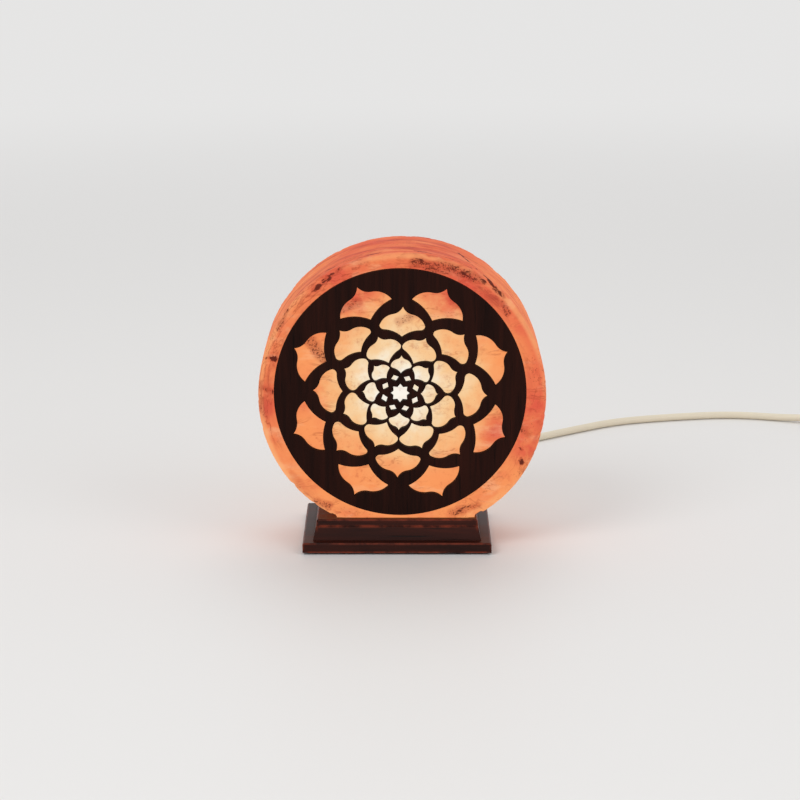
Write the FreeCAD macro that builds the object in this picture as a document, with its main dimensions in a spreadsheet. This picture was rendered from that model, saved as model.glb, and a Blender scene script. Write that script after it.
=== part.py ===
# Salt crystal lamp: a sawn disc of rock salt on a stepped wood base, with a round lotus fretwork
# panel on its front, a candle bulb in a bore under the salt and one round mains lead.
# Frame: millimetres, +X right, +Y to the back, +Z up, origin on the table under the salt's centre.
import FreeCAD, Part
import math
import os
import re

import Sketcher

Vector = FreeCAD.Vector
Rotation = FreeCAD.Rotation
doc = FreeCAD.newDocument("SaltLamp")
sheet = doc.addObject("Spreadsheet::Sheet", "Size")

sizes = [
    # salt disc
    ("salt_diameter", 200, "across the sawn disc"),
    ("salt_thickness", 75, "front face to back face"),
    ("salt_cut", 11.5, "sawn off the disc's foot, so that it stands flat"),
    ("salt_edge_round", 4, "worn round of the arris"),
    ("bore_diameter", 46, "bore for the holder, through the boards and into the salt"),
    ("bore_depth", 122, "depth of the bore in the salt, to the top of its dome"),
    ("bore_dome", 9, "height of the dome that ends the bore"),
    # fretwork panel
    ("panel_diameter", 175.4, "round fretwork panel"),
    ("panel_thickness", 4, "of the panel"),
    ("panel_shift", -1.3, "panel centre to the right of the salt centre"),
    ("panel_foot", 3.4, "panel's lower edge above the top plate"),
    ("panel_turn", 1, "degrees the panel was glued on out of true"),
    ("petal_count", 8, "petals in each ring"),
    ("star_radius", 7, "points of the star in the middle"),
    ("star_valley", 5, "hollows of the star"),
    # base boards
    ("base_shift", -3.5, "base centre to the right of the salt centre"),
    ("base_width", 132.5, "lowest board"),
    ("base_depth", 102, "lowest board"),
    ("slab_height", 7, "lowest board"),
    ("slab_bevel", 1, "bevel round its top edge"),
    ("ledge", 7.2, "slab left bare round the riser"),
    ("riser_height", 9.5, "middle board"),
    ("riser_lean", 2, "how far its sides lean in"),
    ("plate_setback", 0.6, "top plate inside the riser's top edge"),
    ("plate_height", 5, "upper board"),
    ("plate_round", 1, "round of its top edge"),
    ("foot_height", 1.5, "pads under the slab"),
    ("foot_diameter", 14, "pads under the slab"),
    ("foot_inset", 15, "pad centre in from the slab's sides"),
    # fixing of the salt
    ("fixing_spread", 34, "screws to each side of the bore's axis"),
    ("screw_diameter", 4.5, "shank of the fixing screws"),
    ("screw_length", 50, "under the head"),
    ("head_diameter", 9, "of the fixing screws"),
    ("head_height", 2.6, "of the fixing screws"),
    ("head_sink", 0.6, "heads sunk into the slab"),
    ("head_edge", 0.4, "straight edge of the heads"),
    ("screw_point", 4, "of the fixing screws"),
    ("plug_diameter", 8, "wall plugs in the salt"),
    ("plug_length", 32, "wall plugs in the salt"),
    ("plug_barb", 0.5, "depth of the plugs' barbs"),
    ("plug_taper", 0.8, "how far the plugs draw in at their far end"),
    ("hole_spare", 3, "drilled past the plugs"),
    # holder
    ("cord_diameter", 6, "round mains lead"),
    ("cord_exit", 6.4, "height of the lead's axis where it leaves the holder"),
    ("cap_radius", 17, "lower cap of the holder"),
    ("cap_bottom", 2, "clear of the table"),
    ("cap_top", 16, "where the cap meets the body"),
    ("cap_wall", 1.8, "of the cap"),
    ("cap_floor", 1.1, "of the cap"),
    ("cap_bevel", 1, "round its lower edge and over the body's collar"),
    ("collar_height", 2.4, "of the body's collar on the cap"),
    ("sleeve_radius", 14, "body of the holder"),
    ("sleeve_wall", 1.6, "of the holder's body"),
    ("sleeve_length", 46, "of the holder's body"),
    ("sleeve_bevel", 0.6, "round its mouth"),
    ("block_height", 13, "insulator in the holder"),
    ("neck_wall", 1.4, "of the insulator's neck, over the threaded sleeve"),
    ("neck_rise", 5, "of the insulator's neck"),
    ("thread_radius", 6.95, "screw cap of the bulb"),
    ("shell_wall", 0.5, "threaded sleeve"),
    ("shell_length", 30, "threaded sleeve"),
    ("shell_seat", 3, "width of its turned-in foot"),
    ("shell_lip", 0.8, "flare of its mouth"),
    ("tongue_width", 4, "sprung contact under the bulb"),
    ("tongue_sheet", 0.5, "sprung contact under the bulb"),
    ("clamp_sheet", 2, "bar over the lead"),
    ("clamp_length", 17, "bar over the lead"),
    ("clamp_width", 5, "bar over the lead"),
    ("clamp_screw_radius", 1.2, "shank"),
    ("clamp_head_radius", 2.2, "its head"),
    ("clamp_head_height", 1.2, "its head"),
    ("terminal_radius", 2.4, "head of a terminal screw"),
    ("terminal_shank", 1.4, "radius of its shank"),
    ("terminal_drop", 4, "its head's underside below the insulator"),
    ("terminal_head", 1.6, "height of its head"),
    ("clamp_back", 9, "bar behind the holder's axis"),
    ("clamp_spread", 5.8, "clamp screws to each side of the lead"),
    ("terminal_spread", 6, "terminals to each side"),
    ("terminal_front", 5, "terminals in front of the holder's axis"),
    ("sheath_end", 5.5, "cut end of the sheath behind the holder's axis"),
    ("core_radius", 1.05, "insulated wire"),
    ("wing_width", 8, "sprung wings"),
    ("wing_sheet", 0.8, "sheet of the wings"),
    ("wing_foot", 3.6, "wings start above the cap"),
    ("wing_rise", 14, "from there up to their bend"),
    ("wing_bend", 3.2, "depth of the bend"),
    ("wing_drop", 5, "tips below the wings' feet"),
    ("boot_length", 24, "tapered strain relief"),
    ("boot_radius", 4.4, "of its thick end"),
    ("boot_taper", 0.9, "its thin end is this much less"),
    ("groove_depth", 0.6, "of the grooves round a strain relief"),
    ("slot_width", 10.4, "slot for the lead in the slab"),
    ("slot_rise", 3, "how far the slot rises into the riser"),
    # bulb
    ("bulb_tip_height", 38, "of the bulb's solder tip above the table"),
    ("bulb_radius", 17, "widest part of the glass"),
    ("bulb_length", 96, "tip of the cap to tip of the glass"),
    ("glass_wall", 0.7, "of the bulb"),
    ("glass_start", 14, "glass starts above the solder tip"),
    ("solder_radius", 2.4, "solder tip"),
    ("solder_height", 2, "solder tip"),
    ("cap_start", 5, "metal cap starts above the solder tip"),
    ("cap_reach", 24, "metal cap ends above the solder tip"),
    ("cap_draw", 1.1, "how far its foot draws in"),
    ("cap_sheet", 0.4, "sheet of the cap"),
    ("stem_share", 0.53, "share of the bulb's length that the stem reaches"),
    ("stem_radius", 2, "glass stem"),
    ("filament_radius", 0.35, "glowing wire"),
    ("filament_rise", 10, "above the stem"),
    ("filament_reach", 7, "to each side"),
    ("neck_bow", 11, "degrees, how the neck swells into the ball"),
    # switch
    ("switch_x", 399.6, "middle of the in-line switch on the table"),
    ("switch_y", 297.8, "middle of the in-line switch on the table"),
    ("switch_heading", -23, "degrees, along the lead"),
    ("switch_length", 60, "in-line switch"),
    ("switch_width", 26, "in-line switch"),
    ("switch_split", 8, "height where its shells part"),
    ("switch_height", 17, "top of its upper shell"),
    ("switch_wall", 2, "of its shells"),
    ("nose_bow", 30, "degrees, bow of the switch's drawn-in ends"),
    ("rocker_length", 20, "of the button"),
    ("rocker_width", 12, "of the button"),
    ("rocker_tilt", 8, "degrees to each side"),
    ("rocker_gap", 0.5, "between button and window"),
    ("pin_radius", 1, "pivot pin"),
    ("pin_height", 12.6, "pivot axis above the table"),
    ("post_rim", 0.8, "post above the pin"),
    ("post_width", 5, "posts that carry the pin"),
    ("post_sheet", 1.6, "posts that carry the pin"),
    ("post_gap", 0.2, "between a post and the button"),
    ("shell_bevel", 1, "under the lower shell"),
    ("shell_round", 2.5, "over the upper shell, and round the plug's edges"),
    ("rocker_drop", 3.4, "button's foot below its pivot"),
    ("rocker_end", 4.6, "height of the button's ends over its pivot"),
    ("rocker_draw", 0.5, "how far its ends draw in, to clear the window as it tips"),
    ("rocker_dip", 3.4, "height of the button's middle over its pivot"),
    ("rocker_bow", 6, "degrees, hollow of each half of its top"),
    ("bridge_sheet", 0.5, "moving contact of the switch"),
    ("bridge_reach", 5.6, "moving contact of the switch, to each side"),
    ("stud_height", 5.4, "fixed contacts of the switch"),
    ("stud_length", 2.4, "fixed contacts of the switch"),
    ("stud_width", 4, "fixed and moving contacts of the switch"),
    ("stud_spread", 7, "fixed contacts to each side"),
    ("boss_along", 20, "screw bosses from the switch's middle"),
    ("boss_across", 7, "screw bosses from the switch's middle"),
    ("boss_radius", 2.6, "screw bosses"),
    ("boss_reach", 3, "bosses below the shells' parting"),
    ("boss_bore", 8, "depth of their bores"),
    ("switch_screw_radius", 1, "shank"),
    ("switch_head_height", 1.1, "its head"),
    ("switch_head_radius", 1.2, "its head"),
    ("switch_head_sink", 0.3, "its head's underside above the table"),
    ("switch_screw_length", 10.4, "under the head"),
    # mains plug
    ("plug_body_length", 36, "of the moulded plug"),
    ("plug_body_width", 34, "of the moulded plug"),
    ("plug_body_height", 13, "of the moulded plug"),
    ("plug_neck", 9, "half width where the lead enters"),
    ("plug_boot_length", 24, "its strain relief"),
    ("plug_boot_radius", 5.4, "its strain relief, at the plug"),
    ("plug_boot_taper", 1.5, "its thin end is this much less"),
    ("blade_radius", 2, "round contact pins"),
    ("blade_length", 19, "round contact pins"),
    ("blade_spread", 9.3, "each pin from the middle"),
    ("blade_root", 8, "of each pin inside the plug"),
    ("blade_draw", 0.3, "how far a pin is drawn in under its sleeve"),
    ("blade_point", 1, "rounded end of each pin"),
    ("sleeve_share", 10, "insulated length of each pin"),
    # coil of the put-away lead
    ("coil_pitch", 6.5, "between turns and between layers"),
    ("coil_least_radius", 25.5, "where the spiral turns back"),
    ("fit_gap", 0.3, "between parts that do not touch"),
    ("slide_gap", 0.1, "round a part that slides in"),
    ("pivot_gap", 0.03, "round the switch's pin"),
]

# One row for each ring of openings, from the rim inwards: tip, side, widest half width, cusp, and how
# many degrees the ring was cut out of true with the rim's.
rings = {
    "rim": (80.6, 63.7, 19.2, 55.5, 0),
    "broad": (61.4, 47.6, 15.8, 39.7, 0.8),
    "middle": (43.0, 32.8, 12.4, 22.5, 0.8),
    "small": (27.1, 19.8, 7.2, 13.8, 1.1),
    "diamond": (13.9, 11.4, 3.2, 9.0, 3.2),
}
for ring_name, ring_sizes in rings.items():
    for part_name, value in zip(("tip", "side", "half", "cusp", "twist"), ring_sizes):
        sizes.append((ring_name + "_" + part_name, value, "openings of the ring, from the centre"))
# The petals' common shape: where the curve turns over, and how far each stretch bows, in degrees.
sizes += [
    ("bend_across", 0.4, "share of the half width where the point's curve turns over"),
    ("bend_down", 0.38, "share of the height where it does"),
    ("foot_across", 0.8, "share of the half width where the shoulder ends"),
    ("foot_down", 0.4, "share of the lower height where it does"),
    ("point_bow", 28, "bow of the point"),
    ("shoulder_bow", 33, "bow of the shoulder"),
    ("foot_bow", 45, "bow of the foot"),
    ("cusp_bow", 20, "bow of the wood between two petals"),
]

derived = [
    ("slab_top", "foot_height + slab_height"),
    ("riser_top", "slab_top + riser_height"),
    ("plate_top", "riser_top + plate_height"),
    ("salt_centre", "plate_top + salt_diameter / 2 - salt_cut"),
    ("salt_front", "-salt_thickness / 2"),
    ("panel_centre", "plate_top + panel_foot + panel_diameter / 2"),
    ("riser_width", "base_width - 2 * ledge"),
    ("riser_depth", "base_depth - 2 * ledge"),
    ("plate_width", "riser_width - 2 * riser_lean - 2 * plate_setback"),
    ("plate_depth", "riser_depth - 2 * riser_lean - 2 * plate_setback"),
    ("bore_radius", "bore_diameter / 2"),
    ("cord_radius", "cord_diameter / 2"),
    ("sheath_bore", "cord_radius + slide_gap"),
    ("block_radius", "sleeve_radius - sleeve_wall - slide_gap"),
    ("block_top", "cap_top + block_height"),
    ("shell_radius", "thread_radius + slide_gap + shell_wall"),
    ("bulb_top", "bulb_tip_height + bulb_length"),
    ("head_seat", "foot_height + head_height"),
    ("boot_end", "cap_radius + boot_length"),
]

for row, (name, value, note) in enumerate(sizes, start=1):
    sheet.set("A%d" % row, name)
    sheet.set("B%d" % row, str(value))
    sheet.setAlias("B%d" % row, name)
    sheet.set("C%d" % row, note)
for row, (name, formula) in enumerate(derived, start=len(sizes) + 1):
    sheet.set("A%d" % row, name)
    sheet.set("B%d" % row, "=" + formula)
    sheet.setAlias("B%d" % row, name)
doc.recompute()
known = {name for name, *rest in sizes} | {name for name, formula in derived}


def cell(text):
    def named(word):
        return ("Size." if word.group() in known else "") + word.group()
    return re.sub(r"[a-z]\w*", named, str(text))


def number(text):
    return float(sheet.evalExpression(cell(text)))


def plane(body, role):
    return [(item, [""]) for item in body.Origin.OriginFeatures if item.Role == role][0]


# ---- sketches: every corner is held by the sheet ----

def new_sketch(body, name, role, lift="0", turn=0):
    sketch = body.newObject("Sketcher::SketchObject", name)
    sketch.AttachmentSupport = plane(body, role)
    sketch.MapMode = "FlatFace"
    sketch.AttachmentOffset = FreeCAD.Placement(Vector(0, 0, number(lift)), Rotation(Vector(0, 0, 1), turn))
    sketch.setExpression("AttachmentOffset.Base.z", cell(lift))
    return sketch


def hold(sketch, kind, geometry, value, point=None):
    if point is None:
        constraint = Sketcher.Constraint(kind, geometry, number(value))
    else:
        constraint = Sketcher.Constraint(kind, -1, 1, geometry, point, number(value))
    index = sketch.addConstraint(constraint)
    sketch.setExpression("Constraints[%d]" % index, cell(value))


def draw_loop(sketch, corners):
    # A corner is (x, y) or (x, y, bow): a bow, in degrees, bends the edge that starts there to its left.
    first = sketch.GeometryCount
    places = [Vector(number(corner[0]), number(corner[1]), 0) for corner in corners]
    for index, corner in enumerate(corners):
        start = places[index]
        end = places[(index + 1) % len(places)]
        if len(corner) == 2:
            sketch.addGeometry(Part.LineSegment(start, end), False)
            continue
        chord = end - start
        left = Vector(-chord.y, chord.x, 0) * (math.tan(math.radians(number(corner[2]) / 2)) / 2)
        sketch.addGeometry(Part.Arc(start, (start + end) / 2 + left, end), False)
    for index, corner in enumerate(corners):
        edge = first + index
        after = corners[(index + 1) % len(corners)]
        ends = [1, 2]
        if sketch.getPoint(edge, 1).distanceToPoint(places[index]) > 1e-6:
            ends = [2, 1]
        hold(sketch, "DistanceX", edge, corner[0], ends[0])
        hold(sketch, "DistanceY", edge, corner[1], ends[0])
        if len(corner) == 3:
            hold(sketch, "DistanceX", edge, after[0], ends[1])
            hold(sketch, "DistanceY", edge, after[1], ends[1])
            run = "sqrt((%s - (%s))^2 + (%s - (%s))^2)" % (after[0], corner[0], after[1], corner[1])
            hold(sketch, "Radius", edge, "%s / (2 * sin(abs(%s)))" % (run, corner[2]))
        else:
            follow = first + (index + 1) % len(corners)
            start_of_next = 1
            if sketch.getPoint(follow, 1).distanceToPoint(places[(index + 1) % len(corners)]) > 1e-6:
                start_of_next = 2
            sketch.addConstraint(Sketcher.Constraint("Coincident", edge, 2, follow, start_of_next))


def loop_sketch(body, name, role, corners, lift="0", turn=0):
    sketch = new_sketch(body, name, role, lift, turn)
    draw_loop(sketch, corners)
    return sketch


def box_corners(width, depth, x="0", y="0"):
    return [
        ("%s - (%s) / 2" % (x, width), "%s - (%s) / 2" % (y, depth)),
        ("%s + (%s) / 2" % (x, width), "%s - (%s) / 2" % (y, depth)),
        ("%s + (%s) / 2" % (x, width), "%s + (%s) / 2" % (y, depth)),
        ("%s - (%s) / 2" % (x, width), "%s + (%s) / 2" % (y, depth)),
    ]


def circle_sketch(body, name, role, circles, lift="0"):
    sketch = new_sketch(body, name, role, lift)
    for x, y, radius in circles:
        centre = Vector(number(x), number(y), 0)
        index = sketch.addGeometry(Part.Circle(centre, Vector(0, 0, 1), number(radius)), False)
        hold(sketch, "DistanceX", index, x, 3)
        hold(sketch, "DistanceY", index, y, 3)
        hold(sketch, "Radius", index, radius)
    return sketch


# ---- features ----

def new_body(name):
    body = doc.addObject("PartDesign::Body", name)
    body.Label = name
    return body


def pad(body, sketch, length, both_ways=False, reverse=False):
    feature = body.newObject("PartDesign::Pad", sketch.Name + "Pad")
    feature.Profile = sketch
    feature.setExpression("Length", cell(length))
    feature.Reversed = reverse
    if both_ways:
        feature.SideType = "Symmetric"
    doc.recompute()
    return feature


def pocket(body, sketch, length=None, reverse=False, both_ways=False):
    before = body.Shape.Volume
    feature = body.newObject("PartDesign::Pocket", sketch.Name + "Pocket")
    feature.Profile = sketch
    feature.Reversed = reverse
    if both_ways:
        feature.SideType = "Symmetric"
    if length is None:
        feature.Type = "ThroughAll"
    else:
        feature.setExpression("Length", cell(length))
    doc.recompute()
    assert feature.Shape.Volume < before - 0.01, "nothing cut by " + feature.Name
    return feature


def revolve(body, sketch, kind="PartDesign::Revolution", axis="V_Axis"):
    cuts = kind == "PartDesign::Groove"
    before = body.Shape.Volume if cuts else 0
    feature = body.newObject(kind, sketch.Name + "Turn")
    feature.Profile = sketch
    feature.ReferenceAxis = (sketch, [axis])
    feature.Angle = 360
    doc.recompute()
    if cuts:
        assert feature.Shape.Volume < before - 0.01, "nothing cut by " + feature.Name
    return feature


def soften(body, kind, size, choose):
    names = ["Edge%d" % (i + 1) for i, edge in enumerate(body.Shape.Edges) if choose(edge.BoundBox)]
    support = body.Tip
    feature = body.newObject("PartDesign::" + kind, body.Name + kind)
    feature.Base = (support, names)
    feature.setExpression("Radius" if kind == "Fillet" else "Size", cell(size))
    doc.recompute()
    return feature


def pattern(body, feature, count, axis_role):
    before = body.Shape.Volume
    polar = body.newObject("PartDesign::PolarPattern", feature.Name + "Ring")
    polar.Originals = [feature]
    polar.Axis = plane(body, axis_role)
    polar.Angle = 360
    polar.setExpression("Occurrences", cell(count))
    body.Tip = polar
    doc.recompute()
    assert abs(polar.Shape.Volume - before) > 0.01, "nothing repeated by " + polar.Name
    return polar


def place(item, x="0", y="0", z="0", axis=(0, 0, 1), angle=0):
    spot = Vector(number(x), number(y), number(z))
    item.Placement = FreeCAD.Placement(spot, Rotation(Vector(*axis), number(angle)))
    for letter, text in zip("xyz", (x, y, z)):
        item.setExpression("Placement.Base." + letter, cell(text))
    if isinstance(angle, str):
        item.setExpression("Placement.Rotation.Angle", cell(angle))
    return item


def turned(name, corners, x="0", y="0", z="0", axis=(0, 0, 1), angle=0):
    # A lathe-turned piece: corners are (radius, height) round its own Z axis.
    body = new_body(name)
    revolve(body, loop_sketch(body, name + "Profile", "XZ_Plane", corners))
    return place(body, x, y, z, axis, angle)


def rod(name, radius, length, x="0", y="0", z="0", axis=(0, 0, 1), angle=0):
    item = doc.addObject("Part::Cylinder", name)
    item.setExpression("Radius", cell(radius))
    item.setExpression("Height", cell(length))
    return place(item, x, y, z, axis, angle)


def block(name, length, width, height, x="0", y="0", z="0"):
    item = doc.addObject("Part::Box", name)
    for key, text in (("Length", length), ("Width", width), ("Height", height)):
        item.setExpression(key, cell(text))
    return place(item, "%s - (%s) / 2" % (x, length), "%s - (%s) / 2" % (y, width), z)


def less(name, base, *tools):
    for index, tool in enumerate(tools):
        cut = doc.addObject("Part::Cut", name if index == len(tools) - 1 else name + "Step%d" % index)
        cut.Base = base
        cut.Tool = tool
        base = cut
    base.Label = name
    return base


def group(name, items):
    many = doc.addObject("Part::Compound", name)
    many.Links = list(items)
    many.Label = name
    return many


# ---- salt ----

def make_salt():
    body = new_body("salt_block")
    disc = circle_sketch(body, "SaltDisc", "XZ_Plane", [("0", "salt_centre", "salt_diameter / 2")])
    pad(body, disc, "salt_thickness", both_ways=True)
    saw = box_corners("salt_diameter", "salt_diameter", "0", "plate_top - salt_diameter / 2")
    pocket(body, loop_sketch(body, "SawCut", "XZ_Plane", saw), both_ways=True)
    rim = number("salt_thickness") / 2
    soften(body, "Fillet", "salt_edge_round", lambda box: box.YLength < 0.01 and box.ZLength > 10
           and abs(abs(box.YMax) - rim) < 0.01)
    bore = [
        ("0", "plate_top"),
        ("bore_radius", "plate_top"),
        ("bore_radius", "plate_top + bore_depth - bore_dome"),
        ("bore_radius / 2", "plate_top + bore_depth - bore_dome / 4"),
        ("0", "plate_top + bore_depth"),
    ]
    revolve(body, loop_sketch(body, "SaltBore", "XZ_Plane", bore), "PartDesign::Groove")
    holes = [(side + "fixing_spread", "0", "plug_diameter / 2") for side in ("-", "")]
    holes = circle_sketch(body, "PlugHoles", "XY_Plane", holes, "plate_top")
    pocket(body, holes, "plug_length + hole_spare", reverse=True)
    return body


# ---- fretwork panel: rings of ogee petals, each ring cut once and repeated round the middle ----

def petal_corners(ring, rounded):
    tip, side, half, cusp = [ring + part for part in ("_tip", "_side", "_half", "_cusp")]
    bend = ("bend_across * %s" % half, "%s - bend_down * (%s - %s)" % (tip, tip, side))
    foot = ("foot_across * %s" % half, "%s - foot_down * (%s - %s)" % (side, side, cusp))
    corners = [("0", tip, "-point_bow"), (bend[0], bend[1], "shoulder_bow")]
    if rounded:
        corners += [(half, side, "foot_bow"), (foot[0], foot[1], "-cusp_bow")]
        corners += [("0", cusp, "-cusp_bow"), ("-" + foot[0], foot[1], "foot_bow")]
    else:
        corners += [(half, side, "-cusp_bow"), ("0", cusp, "-cusp_bow")]
    corners += [("-" + half, side, "shoulder_bow"), ("-" + bend[0], bend[1], "-point_bow")]
    return corners


def make_panel():
    body = new_body("fretwork_panel")
    disc = circle_sketch(body, "PanelDisc", "XZ_Plane", [("0", "0", "panel_diameter / 2")])
    pad(body, disc, "panel_thickness")
    half_step = 180 / number("petal_count")
    for ring, step, rounded in (("rim", half_step, False), ("broad", 0, True), ("middle", half_step, True),
                                ("small", 0, True)):
        turn = step - number(ring + "_twist")
        opening = loop_sketch(body, ring.title() + "Petal", "XZ_Plane", petal_corners(ring, rounded), turn=turn)
        pattern(body, pocket(body, opening, reverse=True), "petal_count", "Y_Axis")
    small = [
        ("0", "diamond_tip"),
        ("diamond_half", "diamond_side"),
        ("0", "diamond_cusp"),
        ("-diamond_half", "diamond_side"),
    ]
    turn = half_step - number("diamond_twist")
    small = loop_sketch(body, "Diamond", "XZ_Plane", small, turn=turn)
    pattern(body, pocket(body, small, reverse=True), "petal_count", "Y_Axis")
    star = []
    for index in range(2 * int(number("petal_count"))):
        reach = "star_valley" if index % 2 else "star_radius"
        star.append(("%s * sin(%d * 180 / petal_count)" % (reach, index),
                     "%s * cos(%d * 180 / petal_count)" % (reach, index)))
    pocket(body, loop_sketch(body, "Star", "XZ_Plane", star), reverse=True)
    return place(body, "panel_shift", "salt_front", "panel_centre", (0, 1, 0), "panel_turn")


# ---- base ----

def make_slab():
    body = new_body("base_slab")
    outer = box_corners("base_width", "base_depth", "base_shift")
    pad(body, loop_sketch(body, "SlabOutline", "XY_Plane", outer, "foot_height"), "slab_height")
    top = number("slab_top")
    soften(body, "Chamfer", "slab_bevel", lambda box: abs(box.ZMin - top) < 0.01 and abs(box.ZMax - top) < 0.01)
    bore = circle_sketch(body, "SlabBore", "XY_Plane", [("0", "0", "bore_radius")], "foot_height")
    pocket(body, bore, reverse=True)
    slot = box_corners("slot_width", "base_depth", "0", "base_depth / 2")
    pocket(body, loop_sketch(body, "LeadSlot", "XY_Plane", slot, "foot_height"), reverse=True)
    shanks = [(side + "fixing_spread", "0", "screw_diameter / 2 + fit_gap") for side in ("-", "")]
    pocket(body, circle_sketch(body, "SlabShanks", "XY_Plane", shanks, "foot_height"), reverse=True)
    heads = [(side + "fixing_spread", "0", "head_diameter / 2 + fit_gap") for side in ("-", "")]
    heads = circle_sketch(body, "SlabHeads", "XY_Plane", heads, "foot_height")
    pocket(body, heads, "head_height", reverse=True)
    return body


def drill_board(body, bottom):
    bore = circle_sketch(body, body.Name + "Bore", "XY_Plane", [("0", "0", "bore_radius")], bottom)
    pocket(body, bore, reverse=True)
    shanks = [(side + "fixing_spread", "0", "screw_diameter / 2 + fit_gap") for side in ("-", "")]
    pocket(body, circle_sketch(body, body.Name + "Shanks", "XY_Plane", shanks, bottom), reverse=True)


def make_riser():
    body = new_body("base_riser")
    foot = box_corners("riser_width", "riser_depth", "base_shift")
    head = box_corners("riser_width - 2 * riser_lean", "riser_depth - 2 * riser_lean", "base_shift")
    foot = loop_sketch(body, "RiserFoot", "XY_Plane", foot, "slab_top")
    head = loop_sketch(body, "RiserHead", "XY_Plane", head, "riser_top")
    loft = body.newObject("PartDesign::AdditiveLoft", "RiserLoft")
    loft.Profile = foot
    loft.Sections = [head]
    loft.Ruled = True
    doc.recompute()
    drill_board(body, "slab_top")
    slot = box_corners("slot_width", "base_depth", "0", "base_depth / 2")
    pocket(body, loop_sketch(body, "RiserSlot", "XY_Plane", slot, "slab_top"), "slot_rise", reverse=True)
    return body


def make_plate():
    body = new_body("base_top_plate")
    outer = box_corners("plate_width", "plate_depth", "base_shift")
    pad(body, loop_sketch(body, "PlateOutline", "XY_Plane", outer, "riser_top"), "plate_height")
    top = number("plate_top")
    soften(body, "Fillet", "plate_round", lambda box: abs(box.ZMin - top) < 0.01 and abs(box.ZMax - top) < 0.01)
    drill_board(body, "riser_top")
    return body


def make_feet():
    feet = []
    for across in ("-", "+"):
        for along in ("-", "+"):
            x = "base_shift %s (base_width / 2 - foot_inset)" % across
            y = "0 %s (base_depth / 2 - foot_inset)" % along
            feet.append(rod("FootPad", "foot_diameter / 2", "foot_height", x, y))
    return group("feet", feet)


# ---- fixings of the salt ----

def make_fixings():
    screws = []
    plugs = []
    shank = "screw_diameter / 2"
    for side in ("-", ""):
        corners = [
            ("0", "foot_height + head_sink"),
            ("head_diameter / 2", "foot_height + head_sink"),
            ("head_diameter / 2", "foot_height + head_sink + head_edge"),
            (shank, "head_seat"),
            (shank, "head_seat + screw_length - screw_point"),
            ("0", "head_seat + screw_length"),
        ]
        screws.append(turned("SaltScrew", corners, side + "fixing_spread"))
        inner = "screw_diameter / 2 + slide_gap"
        outer = "plug_diameter / 2 - slide_gap"
        corners = [(inner, "plate_top"), (outer, "plate_top")]
        for ring in (1, 2):
            level = "plate_top + plug_length * %d / 4" % ring
            corners += [(outer, level), (outer + " - plug_barb", level + " + 2 * plug_barb")]
        corners += [
            (outer, "plate_top + plug_length * 3 / 4"),
            (outer + " - plug_taper", "plate_top + plug_length"),
            (inner, "plate_top + plug_length"),
        ]
        plugs.append(turned("SaltPlug", corners, side + "fixing_spread"))
    return [group("salt_screws", screws), group("salt_plugs", plugs)]


# ---- lamp holder ----

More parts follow.
